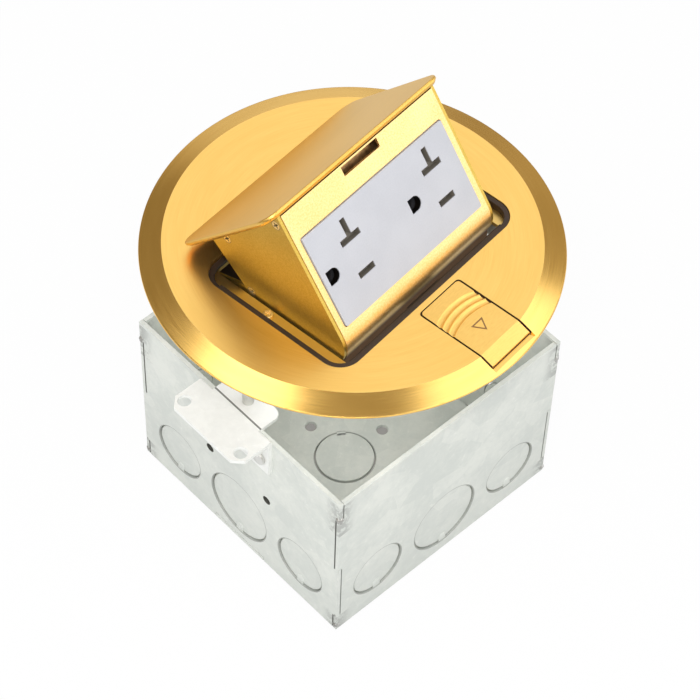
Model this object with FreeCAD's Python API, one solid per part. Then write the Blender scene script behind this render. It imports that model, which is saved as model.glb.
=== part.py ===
import FreeCAD, Part
import math
import os

# Pop-up floor socket box: a round cast cover with a tilting twin socket, carried on levelling
# screws above a square steel box. Millimetres, +Z up, origin at the centre of the box's underside.

V = FreeCAD.Vector

# Steel box
BOX_SIDE = 101.6
BOX_DEPTH = 76.2
SHEET = 1.6
HALF = BOX_SIDE / 2
SEAM_GAP = 0.25
FINGER_LOW = 8.0
FINGER_MIDDLE = 37.0
FINGER_TOP_DROP = 9.7
FINGER_LEVELS = (FINGER_LOW, FINGER_MIDDLE, BOX_DEPTH - FINGER_TOP_DROP)
FLOOR_TAB_HALF = 12.7

# Knock-outs: small ones either side of a large one, tied to the wall by a tab
KO_SMALL_R = 11.1
KO_LARGE_R = 14.3
KO_PITCH = 31.8
KO_HEIGHT = 19.3
KO_SLIT = 0.4
KO_TIE = 4.5

# Small holes in the box
SIDE_HOLE_R = 1.6
SIDE_HOLE_Y = 14.7
SIDE_HOLE_Z = 40.0
FLOOR_HOLE_R = 2.2
FLOOR_HOLE_PCD = 37.0
GROUND_SCREW_AT = (31.0, 31.0)

# Floor brackets
FLANGE_REACH = 15.2
FLANGE_HALF = 17.6
FLANGE_CORNER = 3.4
FLANGE_HOLE_R = 2.4
FLANGE_HOLE_Y = 14.2
FLANGE_HOLE_FROM_WALL = 10.7
EAR_REACH = 9.8
EAR_HALF = 11.5
EAR_CORNER = 3.0
LEG_DROP = 18.2
RIB_WIDTH = 1.6
RIB_Y = 13.4
RIB_REACH = 8.0
RIB_DROP = 12.0
RIVET_R = 1.7
RIVET_HEAD_R = 3.0
RIVET_HEAD_T = 1.1
RIVET_Y = 13.0
RIVET_DROP = 10.2
RIVET_Z = BOX_DEPTH - RIVET_DROP

# Levelling screws that carry the cover
SCREW_FROM_WALL = 5.0
SCREW_RADIUS_AT = HALF - SCREW_FROM_WALL
LEVEL_R = 2.0
LEVEL_HEAD_R = 3.4
LEVEL_HEAD_T = 2.0
LEVEL_PAST_EAR = 4.0

# Half widths across the hinge: the pop-up's front and a clearance each set the next one out
FACE_HALF = 36.0
SIDE_T = 1.2
POPUP_HALF = FACE_HALF + SIDE_T
WELL_CLEAR = 0.8
WELL_HALF = POPUP_HALF + WELL_CLEAR
ARM_CLEAR = 1.0
FRAME_WALL_IN = POPUP_HALF + ARM_CLEAR
LID_PAST_SIDE = 4.6
LID_HALF = POPUP_HALF + LID_PAST_SIDE
LID_CLEAR = 2.7
OPEN_HALF = LID_HALF + LID_CLEAR

# Cover, measured down from its flat top
COVER_RISE = 49.5
COVER_TOP = BOX_DEPTH + COVER_RISE
COVER_TURN = 6.6
COVER_R = 69.85
FLAT_R = 62.9
RIM_DROP = 2.5
PLATE_T = 3.4
OPEN_FRONT = -34.0
OPEN_BACK = 27.4
OPEN_CORNER = 8.0
LEDGE_DEPTH = 3.1
LEDGE_T = 1.5
COLLAR_W = 3.0
GASKET_W = 2.0
GASKET_BELOW_TOP = 0.3
GASKET_BACK_DEPTH = 1.5
WELL_CORNER = 1.5
LEDGE_BOTTOM = -(LEDGE_DEPTH + LEDGE_T)

# Ring seal under the rim
SEAL_INNER_R = 61.0
SEAL_OUTER_R = 66.0
SEAL_T = 1.0

# Tilt frame under the cover
FRAME_T = 1.5
FRAME_FLANGE_W = 4.8
FRAME_FLANGE_OUT = FRAME_WALL_IN + FRAME_FLANGE_W
FRAME_FRONT = -39.5
FRAME_BACK = 42.0
FRAME_FRONT_DEPTH = 8.5
FRAME_REAR_DEPTH = 19.5
CARRIER_Z = -9.6
CARRIER_HALF = 13.0
CARRIER_PAST_SCREW = 5.2
CARRIER_OUT = SCREW_RADIUS_AT + CARRIER_PAST_SCREW
SLOT_SWING = 10.0
STOP_REACH = 2.2
STOP_IN = FRAME_WALL_IN - STOP_REACH
STOP_FROM = 27.6
STOP_TO = 31.6
STOP_DEPTH = 1.55
COVER_SCREW_FROM_WELL = 2.2
COVER_SCREW_X = WELL_HALF + COVER_SCREW_FROM_WELL
COVER_SCREW_Y = 1.0
COVER_SCREW_R = 1.25
COVER_SCREW_HEAD_R = 1.8
COVER_SCREW_HEAD_T = 0.8

# Hinge: the socket tilts up about this line
PIVOT_Y = 35.4
PIVOT_Z = -13.3
LIFT = 48.0
PIN_R = 1.5
RUN_CLEAR = 0.05
CLIP_T = 0.8
CLIP_R = 3.2
BOSS_R = 4.2
WASHER_R = 3.4
WASHER_GAP = 0.05

# Lid, drawn shut
LID_FRONT = -31.5
LID_BACK = 25.1
LID_T = 2.0
LID_CORNER = 6.0
LID_BEVEL = 1.0
LID_SOFT = 0.35
RAIL_W = 2.2
RAIL_DEPTH = 6.4
RAIL_FRONT = -28.2
RAIL_BACK = 9.0

# Front of the pop-up: a folded face that leans back from the lid
FACE_LEAN = 12.8
FACE_SETBACK = 0.5
FACE_T = 1.2
FACE_FLAT = 46.5
LID_GAP = 0.05
ROLL_R = 11.0
ROLL_TURN = 70.0
RETURN_DEPTH = 8.0
WINDOW_HALF = 8.4
WINDOW_BOTTOM = 5.2
DEVICE_DROP = 29.45
SIDE_SET_IN = 0.3
SIDE_BACK = 12.0
ARM_TOP = -22.0
ARM_BOTTOM = -34.0
SIDE_FOOT = -36.0
SIDE_SCREW_SPOTS = ((-26.9, -4.3), (3.9, -4.2))
SIDE_SCREW_R = 1.0
SIDE_SCREW_HEAD_R = 1.8
SIDE_SCREW_L = 3.4
STAY_Y = 8.7
STAY_Z = -26.0
STAY_H = 4.0
STAY_SCREW = (STAY_Y + STAY_H / 2 - 0.3, STAY_Z + STAY_H / 2)

# Twin socket, drawn flat: X along it, Y up the face, Z out of the face
SOCKET_HALF_X = 33.4
SOCKET_HALF_Y = 16.65
SOCKET_PROUD = 0.6
SOCKET_FIT = 0.25
SKIRT = 1.2
SOCKET_FACE_T = 3.2
BODY_DEPTH = 27.0
BODY_HALF_X = 33.6
GROUND_X = (-29.1, 10.4)
GROUND_TO_BLADES = 11.9
GROUND_R = 2.5
BLADE_OFFSET = 6.2
NEUTRAL_LONG = 8.7
HOT_LONG = 7.2
SLOT_W = 2.2
STEM_LONG = 7.0
BLADE_GAP = 1.6
LEAF_T = 0.7
LEAF_LONG = 6.6
LEAF_TOP = -7.2
LEAF_BOTTOM = -20.0
BAR_T = 0.8
GROUND_BAR_Z = -24.0
TERMINAL_R = 1.9
TERMINAL_HEAD_R = 3.4
TERMINAL_HEAD_T = 1.8
TERMINAL_X = (-19.0, 19.0)
TERMINAL_Z = -14.0
TERMINAL_L = 6.0
GROUND_TERMINAL_X = 24.0
STRAP_T = 0.9
STRAP_HALF = 7.0
STRAP_RIVET_R = 1.2
STRAP_RIVET_Z = -6.0

# Shutters behind the slots
SHUTTER_SHIFT = (5.6, -2.5)
SHUTTER_T = 1.3
SHUTTER_GAP = 0.2
SHUTTER_ROOM = 1.7
SHUTTER_LAP = 0.3
SHUTTER_SIDE_GAP = 0.2
SHUTTER_LEFT = -5.0
LEAF_SPRING_T = 0.25
LEAF_SPRING_Y = 9.0
LEAF_SPRING_HALF = 3.2
SLOT_CUT = 9.0
GROUND_ROOM_TOP = 8.0
GROUND_TUBE_TOP = 9.0

# Latch
LATCH_W = 19.1
LATCH_SIDE_GAP = 0.25
LATCH_BACK = -36.4
LATCH_END = -66.0
LATCH_BEVEL_AT = -61.2
LATCH_BEVEL_DROP = 1.75
LATCH_T = 1.9
LATCH_TOE_T = 2.65
LATCH_TOE_AT = -60.2
LATCH_TRAVEL = 1.8
LATCH_STOP_GAP = 0.2
POCKET_BACK = -36.0
POCKET_DEPTH = 2.0
POCKET_TOE_DEPTH = 2.8
POCKET_TOE_AT = -60.0
GRIP_R = 24.0
GRIP_TUBE = 1.3
GRIP_DEPTH = 0.55
GRIP_FIRST = -42.2
GRIP_PITCH = 2.55
GRIP_COUNT = 3
STEM_HALF = 4.0
STEM_FROM = -57.0
STEM_TO = -49.0
STEM_SLOT_GAP = 0.3
TONGUE_HALF = 7.5
TONGUE_TIP = -29.4
TONGUE_OUT = -57.0
TONGUE_T = 1.0
TONGUE_Z = -4.5
TONGUE_NOSE = 0.9
TONGUE_SLOT_GAP = 0.3
TAB_HALF = 3.0
TAB_Y = -41.6
TAB_BOTTOM = -6.7
GUIDE_HALF = 14.0
GUIDE_CHANNEL = 9.0
GUIDE_FROM = -58.0
GUIDE_TO = -40.3
GUIDE_FLOOR = -7.0
GUIDE_T = 1.0
GUIDE_STOP_Y = -49.5
GUIDE_SCREW_X = 11.6
GUIDE_SCREW_Y = -53.0
SMALL_SCREW_R = 1.25
SMALL_HEAD_R = 2.2
SMALL_HEAD_T = 1.3
LATCH_SCREW_Y = -53.0

# Springs
LIFT_WIRE = 0.5
LIFT_COIL_R = 2.6
LIFT_TURNS = 4
LIFT_PITCH = 1.15
LIFT_X = 26.0
LIFT_LEG = 27.5
LIFT_LEG_RISE = 12.7
LATCH_WIRE = 0.2
LATCH_COIL_R = 0.95
LATCH_TURNS = 6


# Plain solids

def block(x0, x1, y0, y1, z0, z1):
    return Part.makeBox(x1 - x0, y1 - y0, z1 - z0, V(x0, y0, z0))


def slab(x0, x1, y0, y1, z0, z1, corner):
    shape = block(x0, x1, y0, y1, z0, z1)
    upright = [e for e in shape.Edges if abs(e.Vertexes[0].Z - e.Vertexes[-1].Z) > 0.5 * (z1 - z0)]
    return shape.makeFillet(corner, upright)


def drum(radius, z0, z1, x=0.0, y=0.0):
    return Part.makeCylinder(radius, z1 - z0, V(x, y, z0), V(0, 0, 1))


def bar_x(radius, x0, x1, y, z):
    return Part.makeCylinder(radius, x1 - x0, V(x0, y, z), V(1, 0, 0))


def bar_y(radius, y0, y1, x, z):
    return Part.makeCylinder(radius, y1 - y0, V(x, y0, z), V(0, 1, 0))


def sheet_along_x(points, x0, x1):
    corners = [V(x0, y, z) for y, z in points]
    face = Part.Face(Part.makePolygon(corners + [corners[0]]))
    return face.extrude(V(x1 - x0, 0, 0))


def sheet_along_z(points, z0, z1):
    corners = [V(x, y, z0) for x, y in points]
    face = Part.Face(Part.makePolygon(corners + [corners[0]]))
    return face.extrude(V(0, 0, z1 - z0))


def turned(points):
    corners = [V(r, 0, z) for r, z in points]
    face = Part.Face(Part.makePolygon(corners + [corners[0]]))
    return face.revolve(V(0, 0, 0), V(0, 0, 1), 360)


def mirrored(shape):
    return shape.mirror(V(0, 0, 0), V(1, 0, 0))


def both_sides(shape):
    return [shape, mirrored(shape)]


def joined(shapes):
    return shapes[0].fuse(shapes[1:]).removeSplitter()


def coil(radius, wire, turns, length):
    """Round-wire coil about the X axis, from x = 0 to x = length."""
    helix = Part.makeHelix(length / turns, length, radius)
    section = Part.Wire(Part.makeCircle(wire, V(radius, 0, 0), V(0, 1, 0)))
    shape = Part.Wire(helix).makePipeShell([section], True, True)
    shape.rotate(V(0, 0, 0), V(0, 1, 0), 90)
    return shape


# Places: the cover on the box, and the pop-up in the cover

def seat(shape):
    placed = shape.copy()
    placed.rotate(V(0, 0, 0), V(0, 0, 1), COVER_TURN)
    placed.translate(V(0, 0, COVER_TOP))
    return placed


def lift(shape):
    placed = shape.copy()
    placed.rotate(V(0, PIVOT_Y, PIVOT_Z), V(1, 0, 0), -LIFT)
    return seat(placed)


def lean(shape):
    placed = shape.copy()
    placed.rotate(V(0, 0, 0), V(1, 0, 0), 90 + FACE_LEAN)
    placed.translate(V(0, LID_FRONT + FACE_SETBACK, 0))
    return placed


def in_socket(shape):
    placed = shape.copy()
    placed.translate(V(0, -DEVICE_DROP, 0))
    return lift(lean(placed))


# Steel box

def knock_out(radius, tie_angle):
    """Slit round a knock-out disc, drawn in the XY plane, with the tie left standing."""
    ring = drum(radius, -SHEET, SHEET).cut(drum(radius - KO_SLIT, -SHEET, SHEET))
    tie = block(radius - 3 * KO_SLIT, radius + KO_SLIT, -KO_TIE / 2, KO_TIE / 2, -SHEET, SHEET)
    tie.rotate(V(0, 0, 0), V(0, 0, 1), tie_angle)
    return ring.cut(tie)


def wall_slits():
    """Knock-out slits of one wall, as cutters in the wall's own plane: X across, Z up."""
    cutters = []
    for across, radius in ((-KO_PITCH, KO_SMALL_R), (0.0, KO_LARGE_R), (KO_PITCH, KO_SMALL_R)):
        slit = knock_out(radius, -90)
        slit.rotate(V(0, 0, 0), V(1, 0, 0), 90)
        slit.translate(V(across, 0, KO_HEIGHT))
        cutters.append(slit)
    return cutters


def corner_fingers(grow):
    """Spans of height where the end walls run out to the corner."""
    low, middle, high = FINGER_LEVELS
    return ((low - grow, middle + grow), (high - grow, BOX_DEPTH + grow))


def box_body():
    inner = HALF - SHEET
    floor = block(-inner, inner, -HALF, HALF, 0, SHEET)
    tab = block(-HALF, HALF, -FLOOR_TAB_HALF, FLOOR_TAB_HALF, 0, SHEET)
    shape = joined([floor, tab] + [block(-HALF, HALF, y, y + SHEET, 0, BOX_DEPTH) for y in (-HALF, inner)])
    for z0, z1 in corner_fingers(SEAM_GAP):
        for x in (-HALF - 1, inner - SEAM_GAP):
            for y in (-HALF - 1, inner - SEAM_GAP):
                shape = shape.cut(block(x, x + SHEET + SEAM_GAP + 1, y, y + SHEET + SEAM_GAP + 1, z0, z1))
    for y in (-HALF, HALF):
        for slit in wall_slits():
            slit.translate(V(0, y, 0))
            shape = shape.cut(slit)
    shape = shape.cut(knock_out(KO_SMALL_R, 55))
    for quarter in range(4):
        angle = math.radians(90 * quarter)
        x, y = FLOOR_HOLE_PCD / 2 * math.cos(angle), FLOOR_HOLE_PCD / 2 * math.sin(angle)
        shape = shape.cut(drum(FLOOR_HOLE_R, -1, SHEET + 1, x, y))
    return shape.cut(drum(LEVEL_R, -1, SHEET + 1, *GROUND_SCREW_AT))


def box_side():
    """End wall on the +X side, let into the body by its fingers."""
    inner = HALF - SHEET
    shape = block(inner, HALF, -inner + SEAM_GAP, inner - SEAM_GAP, 0, BOX_DEPTH)
    shape = joined([shape] + [block(inner, HALF, -HALF, HALF, z0, z1) for z0, z1 in corner_fingers(0)])
    tab_room = FLOOR_TAB_HALF + SEAM_GAP
    shape = shape.cut(block(inner - 1, HALF + 1, -tab_room, tab_room, -1, SHEET + 2 * SEAM_GAP))
    for slit in wall_slits():
        slit.rotate(V(0, 0, 0), V(0, 0, 1), 90)
        slit.translate(V(HALF, 0, 0))
        shape = shape.cut(slit)
    for y in (-SIDE_HOLE_Y, SIDE_HOLE_Y):
        shape = shape.cut(bar_x(SIDE_HOLE_R, inner - 1, HALF + 1, y, SIDE_HOLE_Z))
    for y in (-RIVET_Y, RIVET_Y):
        shape = shape.cut(bar_x(RIVET_R, inner - 1, HALF + 1, y, RIVET_Z))
    return shape


def bracket():
    """Floor bracket on the +X wall: flange outwards, tapped ear inwards, leg down the wall."""
    top = BOX_DEPTH + SHEET
    tip = HALF + FLANGE_REACH
    cut = FLANGE_CORNER
    outline = [(HALF, -FLANGE_HALF), (tip - cut, -FLANGE_HALF), (tip, -FLANGE_HALF + cut),
               (tip, FLANGE_HALF - cut), (tip - cut, FLANGE_HALF), (HALF, FLANGE_HALF)]
    flange = sheet_along_z(outline, BOX_DEPTH, top)
    leg = block(HALF, HALF + SHEET, -FLANGE_HALF, FLANGE_HALF, top - LEG_DROP, top)
    shape = joined([flange, leg])
    fold = [e for e in shape.Edges
            if abs(e.CenterOfMass.x - HALF) < 0.01 and abs(e.CenterOfMass.z - top) < 0.01]
    shape = shape.makeFillet(SHEET * 0.8, fold)
    ear = slab(HALF - EAR_REACH, HALF + EAR_CORNER + 2 * SHEET, -EAR_HALF, EAR_HALF, BOX_DEPTH, top,
               EAR_CORNER)
    ribs = []
    for y in (-RIB_Y - RIB_WIDTH / 2, RIB_Y - RIB_WIDTH / 2):
        start = HALF + SHEET / 2
        corners = [V(start, y, BOX_DEPTH + SHEET / 2), V(start + RIB_REACH, y, BOX_DEPTH + SHEET / 2),
                   V(start, y, BOX_DEPTH - RIB_DROP)]
        face = Part.Face(Part.makePolygon(corners + [corners[0]]))
        ribs.append(face.extrude(V(0, RIB_WIDTH, 0)))
    shape = joined([shape, ear] + ribs)
    for y in (-FLANGE_HOLE_Y, FLANGE_HOLE_Y):
        shape = shape.cut(drum(FLANGE_HOLE_R, BOX_DEPTH - 1, top + 1, HALF + FLANGE_HOLE_FROM_WALL, y))
    for y in (-RIVET_Y, RIVET_Y):
        shape = shape.cut(bar_x(RIVET_R, HALF - 1, HALF + SHEET + 1, y, RIVET_Z))
        shape = shape.cut(bar_x(RIVET_HEAD_R, HALF + SHEET, HALF + SHEET + RIB_REACH, y, RIVET_Z))
    return shape.cut(drum(LEVEL_R, BOX_DEPTH - 1, top + 1, SCREW_RADIUS_AT, 0))


def bracket_rivets():
    rivets = []
    inner = HALF - SHEET
    for y in (-RIVET_Y, RIVET_Y):
        shank = bar_x(RIVET_R, inner - RIVET_HEAD_T, HALF + SHEET + RIVET_HEAD_T, y, RIVET_Z)
        heads = [bar_x(RIVET_HEAD_R, inner - RIVET_HEAD_T, inner, y, RIVET_Z),
                 bar_x(RIVET_HEAD_R, HALF + SHEET, HALF + SHEET + RIVET_HEAD_T, y, RIVET_Z)]
        rivets += both_sides(joined([shank] + heads))
    return Part.makeCompound(rivets)


def ground_screw():
    x, y = GROUND_SCREW_AT
    across = 4.2
    corners = [(x + across * math.cos(math.radians(60 * i)), y + across * math.sin(math.radians(60 * i)))
               for i in range(6)]
    head = sheet_along_z(corners, SHEET, SHEET + 2.6)
    washer = drum(4.8, SHEET, SHEET + 0.8, x, y)
    slot = block(x - 5, x + 5, y - 0.5, y + 0.5, SHEET + 1.6, SHEET + 3)
    return joined([head, washer, drum(LEVEL_R, 0.2, SHEET + 1, x, y)]).cut(slot)


# Cover

def cover_plate():
    shape = turned([(0, 0), (FLAT_R, 0), (COVER_R, -RIM_DROP), (COVER_R, -PLATE_T), (0, -PLATE_T)])
    collar = slab(-OPEN_HALF - COLLAR_W, OPEN_HALF + COLLAR_W, OPEN_FRONT - COLLAR_W, OPEN_BACK + COLLAR_W,
                  LEDGE_BOTTOM, -PLATE_T / 2, OPEN_CORNER + COLLAR_W)
    shape = joined([shape, collar])
    rebate = slab(-OPEN_HALF, OPEN_HALF, OPEN_FRONT, OPEN_BACK, -LEDGE_DEPTH, 1, OPEN_CORNER)
    well = slab(-WELL_HALF, WELL_HALF, OPEN_FRONT + GASKET_W, OPEN_BACK - GASKET_W, LEDGE_BOTTOM - 1, 1,
                WELL_CORNER)
    shape = shape.cut(rebate).cut(well)
    half = LATCH_W / 2 + LATCH_SIDE_GAP
    end = LATCH_END - LATCH_TRAVEL - LATCH_STOP_GAP
    pocket = block(-half, half, POCKET_TOE_AT, POCKET_BACK, -POCKET_DEPTH, 1)
    toe = block(-half, half, end, POCKET_TOE_AT, -POCKET_TOE_DEPTH, 1)
    stem = STEM_HALF + STEM_SLOT_GAP
    stem_slot = block(-stem, stem, STEM_FROM - LATCH_TRAVEL - LATCH_STOP_GAP, STEM_TO + STEM_SLOT_GAP,
                      -PLATE_T - 1, 0)
    half = TONGUE_HALF + TONGUE_SLOT_GAP
    tongue_slot = block(-half, half, OPEN_FRONT, OPEN_FRONT + GASKET_W + 1, LEDGE_BOTTOM - 1, -LEDGE_DEPTH)
    collar_slot = block(-half, half, OPEN_FRONT - COLLAR_W - 1, OPEN_FRONT, -PLATE_T - 2, -PLATE_T)
    for cutter in (pocket, toe, stem_slot, tongue_slot, collar_slot):
        shape = shape.cut(cutter)
    for x in (-COVER_SCREW_X, COVER_SCREW_X):
        shape = shape.cut(drum(COVER_SCREW_R + RUN_CLEAR, LEDGE_BOTTOM - 1, 0, x, COVER_SCREW_Y))
    for x in (-GUIDE_SCREW_X, GUIDE_SCREW_X):
        shape = shape.cut(drum(SMALL_SCREW_R, -PLATE_T - 1, -1.3, x, GUIDE_SCREW_Y))
    return shape


def opening_gasket():
    top = -GASKET_BELOW_TOP
    outer = slab(-OPEN_HALF, OPEN_HALF, OPEN_FRONT, OPEN_BACK, -LEDGE_DEPTH, top, OPEN_CORNER)
    inner = slab(-OPEN_HALF + GASKET_W, OPEN_HALF - GASKET_W, OPEN_FRONT + GASKET_W, OPEN_BACK - GASKET_W,
                 -LEDGE_DEPTH - 1, 1, OPEN_CORNER - GASKET_W)
    low_back = block(-OPEN_HALF, OPEN_HALF, LID_BACK - LID_CORNER, OPEN_BACK, -GASKET_BACK_DEPTH, 1)
    return outer.cut(inner).cut(low_back)


def floor_seal():
    return drum(SEAL_OUTER_R, -PLATE_T - SEAL_T, -PLATE_T).cut(drum(SEAL_INNER_R, -PLATE_T - SEAL_T - 1, 0))


def arc_slot(radius, half_width, half_angle):
    """Slot along an arc about the cover's axis, centred on +X, as a cutter."""
    ring = drum(radius + half_width, -1, 1).cut(drum(radius - half_width, -2, 2))
    reach = 2 * radius
    spread = reach * math.tan(math.radians(half_angle))
    wedge = sheet_along_z([(0, 0), (reach, -spread), (reach, spread)], -2, 2)
    ends = []
    for sign in (-1, 1):
        angle = math.radians(sign * half_angle)
        ends.append(drum(half_width, -1, 1, radius * math.cos(angle), radius * math.sin(angle)))
    return joined([ring.common(wedge)] + ends)


def tilt_frame():
    top = LEDGE_BOTTOM
    out = FRAME_WALL_IN + FRAME_T
    profile = [(FRAME_FRONT, top), (FRAME_FRONT, -FRAME_FRONT_DEPTH), (PIVOT_Y - 2 * BOSS_R, -FRAME_REAR_DEPTH),
               (FRAME_BACK + FRAME_T, -FRAME_REAR_DEPTH), (FRAME_BACK + FRAME_T, top)]
    wall = sheet_along_x(profile, FRAME_WALL_IN, out)
    flange = block(FRAME_WALL_IN, FRAME_FLANGE_OUT, FRAME_FRONT, OPEN_BACK + COLLAR_W, top - FRAME_T, top)
    stop = block(STOP_IN, FRAME_WALL_IN, STOP_FROM, STOP_TO, top - STOP_DEPTH, top)
    carrier = slab(FRAME_WALL_IN, CARRIER_OUT, -CARRIER_HALF, CARRIER_HALF, CARRIER_Z, CARRIER_Z + FRAME_T, 4.0)
    far = CARRIER_OUT
    carrier = carrier.cut(block(0, FRAME_WALL_IN + FRAME_T / 2, -far, far, -far, far))
    side = joined([wall, flange, stop, carrier])
    slot = arc_slot(SCREW_RADIUS_AT, LEVEL_R + 0.2, SLOT_SWING)
    slot.translate(V(0, 0, CARRIER_Z + FRAME_T / 2))
    side = side.cut(slot)
    front = block(-out, out, FRAME_FRONT, OPEN_FRONT - 0.5, top - FRAME_T, top)
    lip = block(-out, out, FRAME_FRONT, FRAME_FRONT + FRAME_T, -FRAME_FRONT_DEPTH, top)
    gap = block(-GUIDE_HALF, GUIDE_HALF, FRAME_FRONT - 1, FRAME_FRONT + FRAME_T + 0.01, -2 * FRAME_FRONT_DEPTH,
                top - FRAME_T)
    rear = block(-out, out, FRAME_BACK, FRAME_BACK + FRAME_T, -FRAME_REAR_DEPTH, top)
    shape = joined(both_sides(side) + [front, lip.cut(gap), rear])
    shape = shape.cut(bar_x(PIN_R, -out - 1, out + 1, PIVOT_Y, PIVOT_Z))
    leg_x = LIFT_X + LIFT_PITCH * (LIFT_TURNS - LIFT_LEG_RISE / 360)
    leg_z = PIVOT_Z + LIFT_COIL_R
    for hole in both_sides(bar_y(LIFT_WIRE + RUN_CLEAR, FRAME_BACK - 1, FRAME_BACK + 5, leg_x, leg_z)):
        shape = shape.cut(hole)
    for x in (-COVER_SCREW_X, COVER_SCREW_X):
        shape = shape.cut(drum(COVER_SCREW_R, top - FRAME_T, top + 1, x, COVER_SCREW_Y))
    return shape


def cross_recess(head_r, depth):
    """Cross slot for a screw head, cut down from z = 0."""
    width = 0.32 * head_r
    reach = 0.62 * head_r
    arm = block(-reach, reach, -width / 2, width / 2, -depth, 1)
    other = block(-width / 2, width / 2, -reach, reach, -depth, 1)
    return arm.fuse(other)


def pan_screw(head_r, head_t, shank_r, shank_l):
    """Pan-head screw along -Z, with its head standing on z = 0."""
    head = drum(head_r, 0, head_t)
    rim = [e for e in head.Edges if abs(e.CenterOfMass.z - head_t) < 0.001 and e.Closed]
    head = head.makeFillet(0.45 * head_t, rim)
    cross = cross_recess(head_r, 0.55 * head_t)
    cross.translate(V(0, 0, head_t))
    return joined([head, drum(shank_r, -shank_l, 0.01)]).cut(cross)


def cover_screws():
    screw = pan_screw(COVER_SCREW_HEAD_R, COVER_SCREW_HEAD_T, COVER_SCREW_R, LEDGE_T + FRAME_T)
    screw.translate(V(COVER_SCREW_X, COVER_SCREW_Y, -LEDGE_DEPTH))
    return Part.makeCompound(both_sides(screw))


def levelling_screws():
    """The two long screws stand on the box's own axis, in the cover's arc slots."""
    head_z = COVER_TOP + CARRIER_Z + FRAME_T
    length = head_z - BOX_DEPTH + LEVEL_PAST_EAR
    screw = pan_screw(LEVEL_HEAD_R, LEVEL_HEAD_T, LEVEL_R, length)
    screw.translate(V(SCREW_RADIUS_AT, 0, head_z))
    return Part.makeCompound(both_sides(screw))


def pivot_rod():
    reach = FRAME_WALL_IN + FRAME_T + CLIP_T + 1.2
    return bar_x(PIN_R, -reach, reach, PIVOT_Y, PIVOT_Z)


def rod_clips():
    x = FRAME_WALL_IN + FRAME_T
    ring = bar_x(CLIP_R, x, x + CLIP_T, PIVOT_Y, PIVOT_Z).cut(bar_x(PIN_R, x - 1, x + 2, PIVOT_Y, PIVOT_Z))
    mouth = block(x - 1, x + 2, PIVOT_Y - 0.8 * PIN_R, PIVOT_Y + 0.8 * PIN_R, PIVOT_Z - CLIP_R - 1, PIVOT_Z)
    return Part.makeCompound(both_sides(ring.cut(mouth)))


def rod_washers():
    x0, x1 = FACE_HALF + SIDE_T + WASHER_GAP, FRAME_WALL_IN
    ring = bar_x(WASHER_R, x0, x1, PIVOT_Y, PIVOT_Z).cut(bar_x(PIN_R, x0 - 1, x1 + 1, PIVOT_Y, PIVOT_Z))
    return Part.makeCompound(both_sides(ring))


def lift_springs():
    """Torsion springs on the rod: the short leg through the rear wall, the long one under the stay."""
    length = LIFT_PITCH * (LIFT_TURNS - LIFT_LEG_RISE / 360)
    helix = Part.makeHelix(LIFT_PITCH, length, LIFT_COIL_R, 0, True)
    section = Part.Wire(Part.makeCircle(LIFT_WIRE, V(LIFT_COIL_R, 0, 0), V(0, 1, 0)))
    winding = Part.Wire(helix).makePipeShell([section], True, True)
    winding.rotate(V(0, 0, 0), V(0, 1, 0), 90)
    winding.rotate(V(0, 0, 0), V(1, 0, 0), 180 - LIFT_LEG_RISE)
    long_leg = Part.makeCylinder(LIFT_WIRE, LIFT_LEG, V(0, 0, LIFT_COIL_R), V(0, -1, 0))
    long_leg.rotate(V(0, 0, 0), V(1, 0, 0), -LIFT_LEG_RISE)
    reach = FRAME_BACK + FRAME_T + LIFT_WIRE - PIVOT_Y
    short_leg = Part.makeCylinder(LIFT_WIRE, reach, V(length, 0, LIFT_COIL_R), V(0, 1, 0))
    spring = winding.fuse([long_leg, short_leg])
    spring.translate(V(LIFT_X, PIVOT_Y, PIVOT_Z))
    return Part.makeCompound(both_sides(spring))


def latch_guide():
    floor = block(-GUIDE_HALF, GUIDE_HALF, GUIDE_FROM, GUIDE_TO, GUIDE_FLOOR - GUIDE_T, GUIDE_FLOOR)
    leg = block(GUIDE_CHANNEL, GUIDE_HALF, GUIDE_FROM, GUIDE_TO, GUIDE_FLOOR - 0.01, -PLATE_T)
    stop = block(-TAB_HALF, TAB_HALF, GUIDE_STOP_Y, GUIDE_STOP_Y + 1, GUIDE_FLOOR - 0.01, TONGUE_Z - 0.2)
    shape = joined([floor] + both_sides(leg) + [stop])
    for x in (-GUIDE_SCREW_X, GUIDE_SCREW_X):
        shape = shape.cut(drum(SMALL_SCREW_R, GUIDE_FLOOR - 3, 0, x, GUIDE_SCREW_Y))
    return shape.cut(drum(SMALL_HEAD_R + 2.6, GUIDE_FLOOR - 3, GUIDE_FLOOR + 0.01, 0, LATCH_SCREW_Y - 1))


def guide_screws():
    length = -1.4 - (GUIDE_FLOOR - GUIDE_T)
    screw = pan_screw(SMALL_HEAD_R, SMALL_HEAD_T, SMALL_SCREW_R, length)
    screw.rotate(V(0, 0, 0), V(1, 0, 0), 180)
    screw.translate(V(GUIDE_SCREW_X, GUIDE_SCREW_Y, GUIDE_FLOOR - GUIDE_T))
    return Part.makeCompound(both_sides(screw))


# Latch

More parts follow.
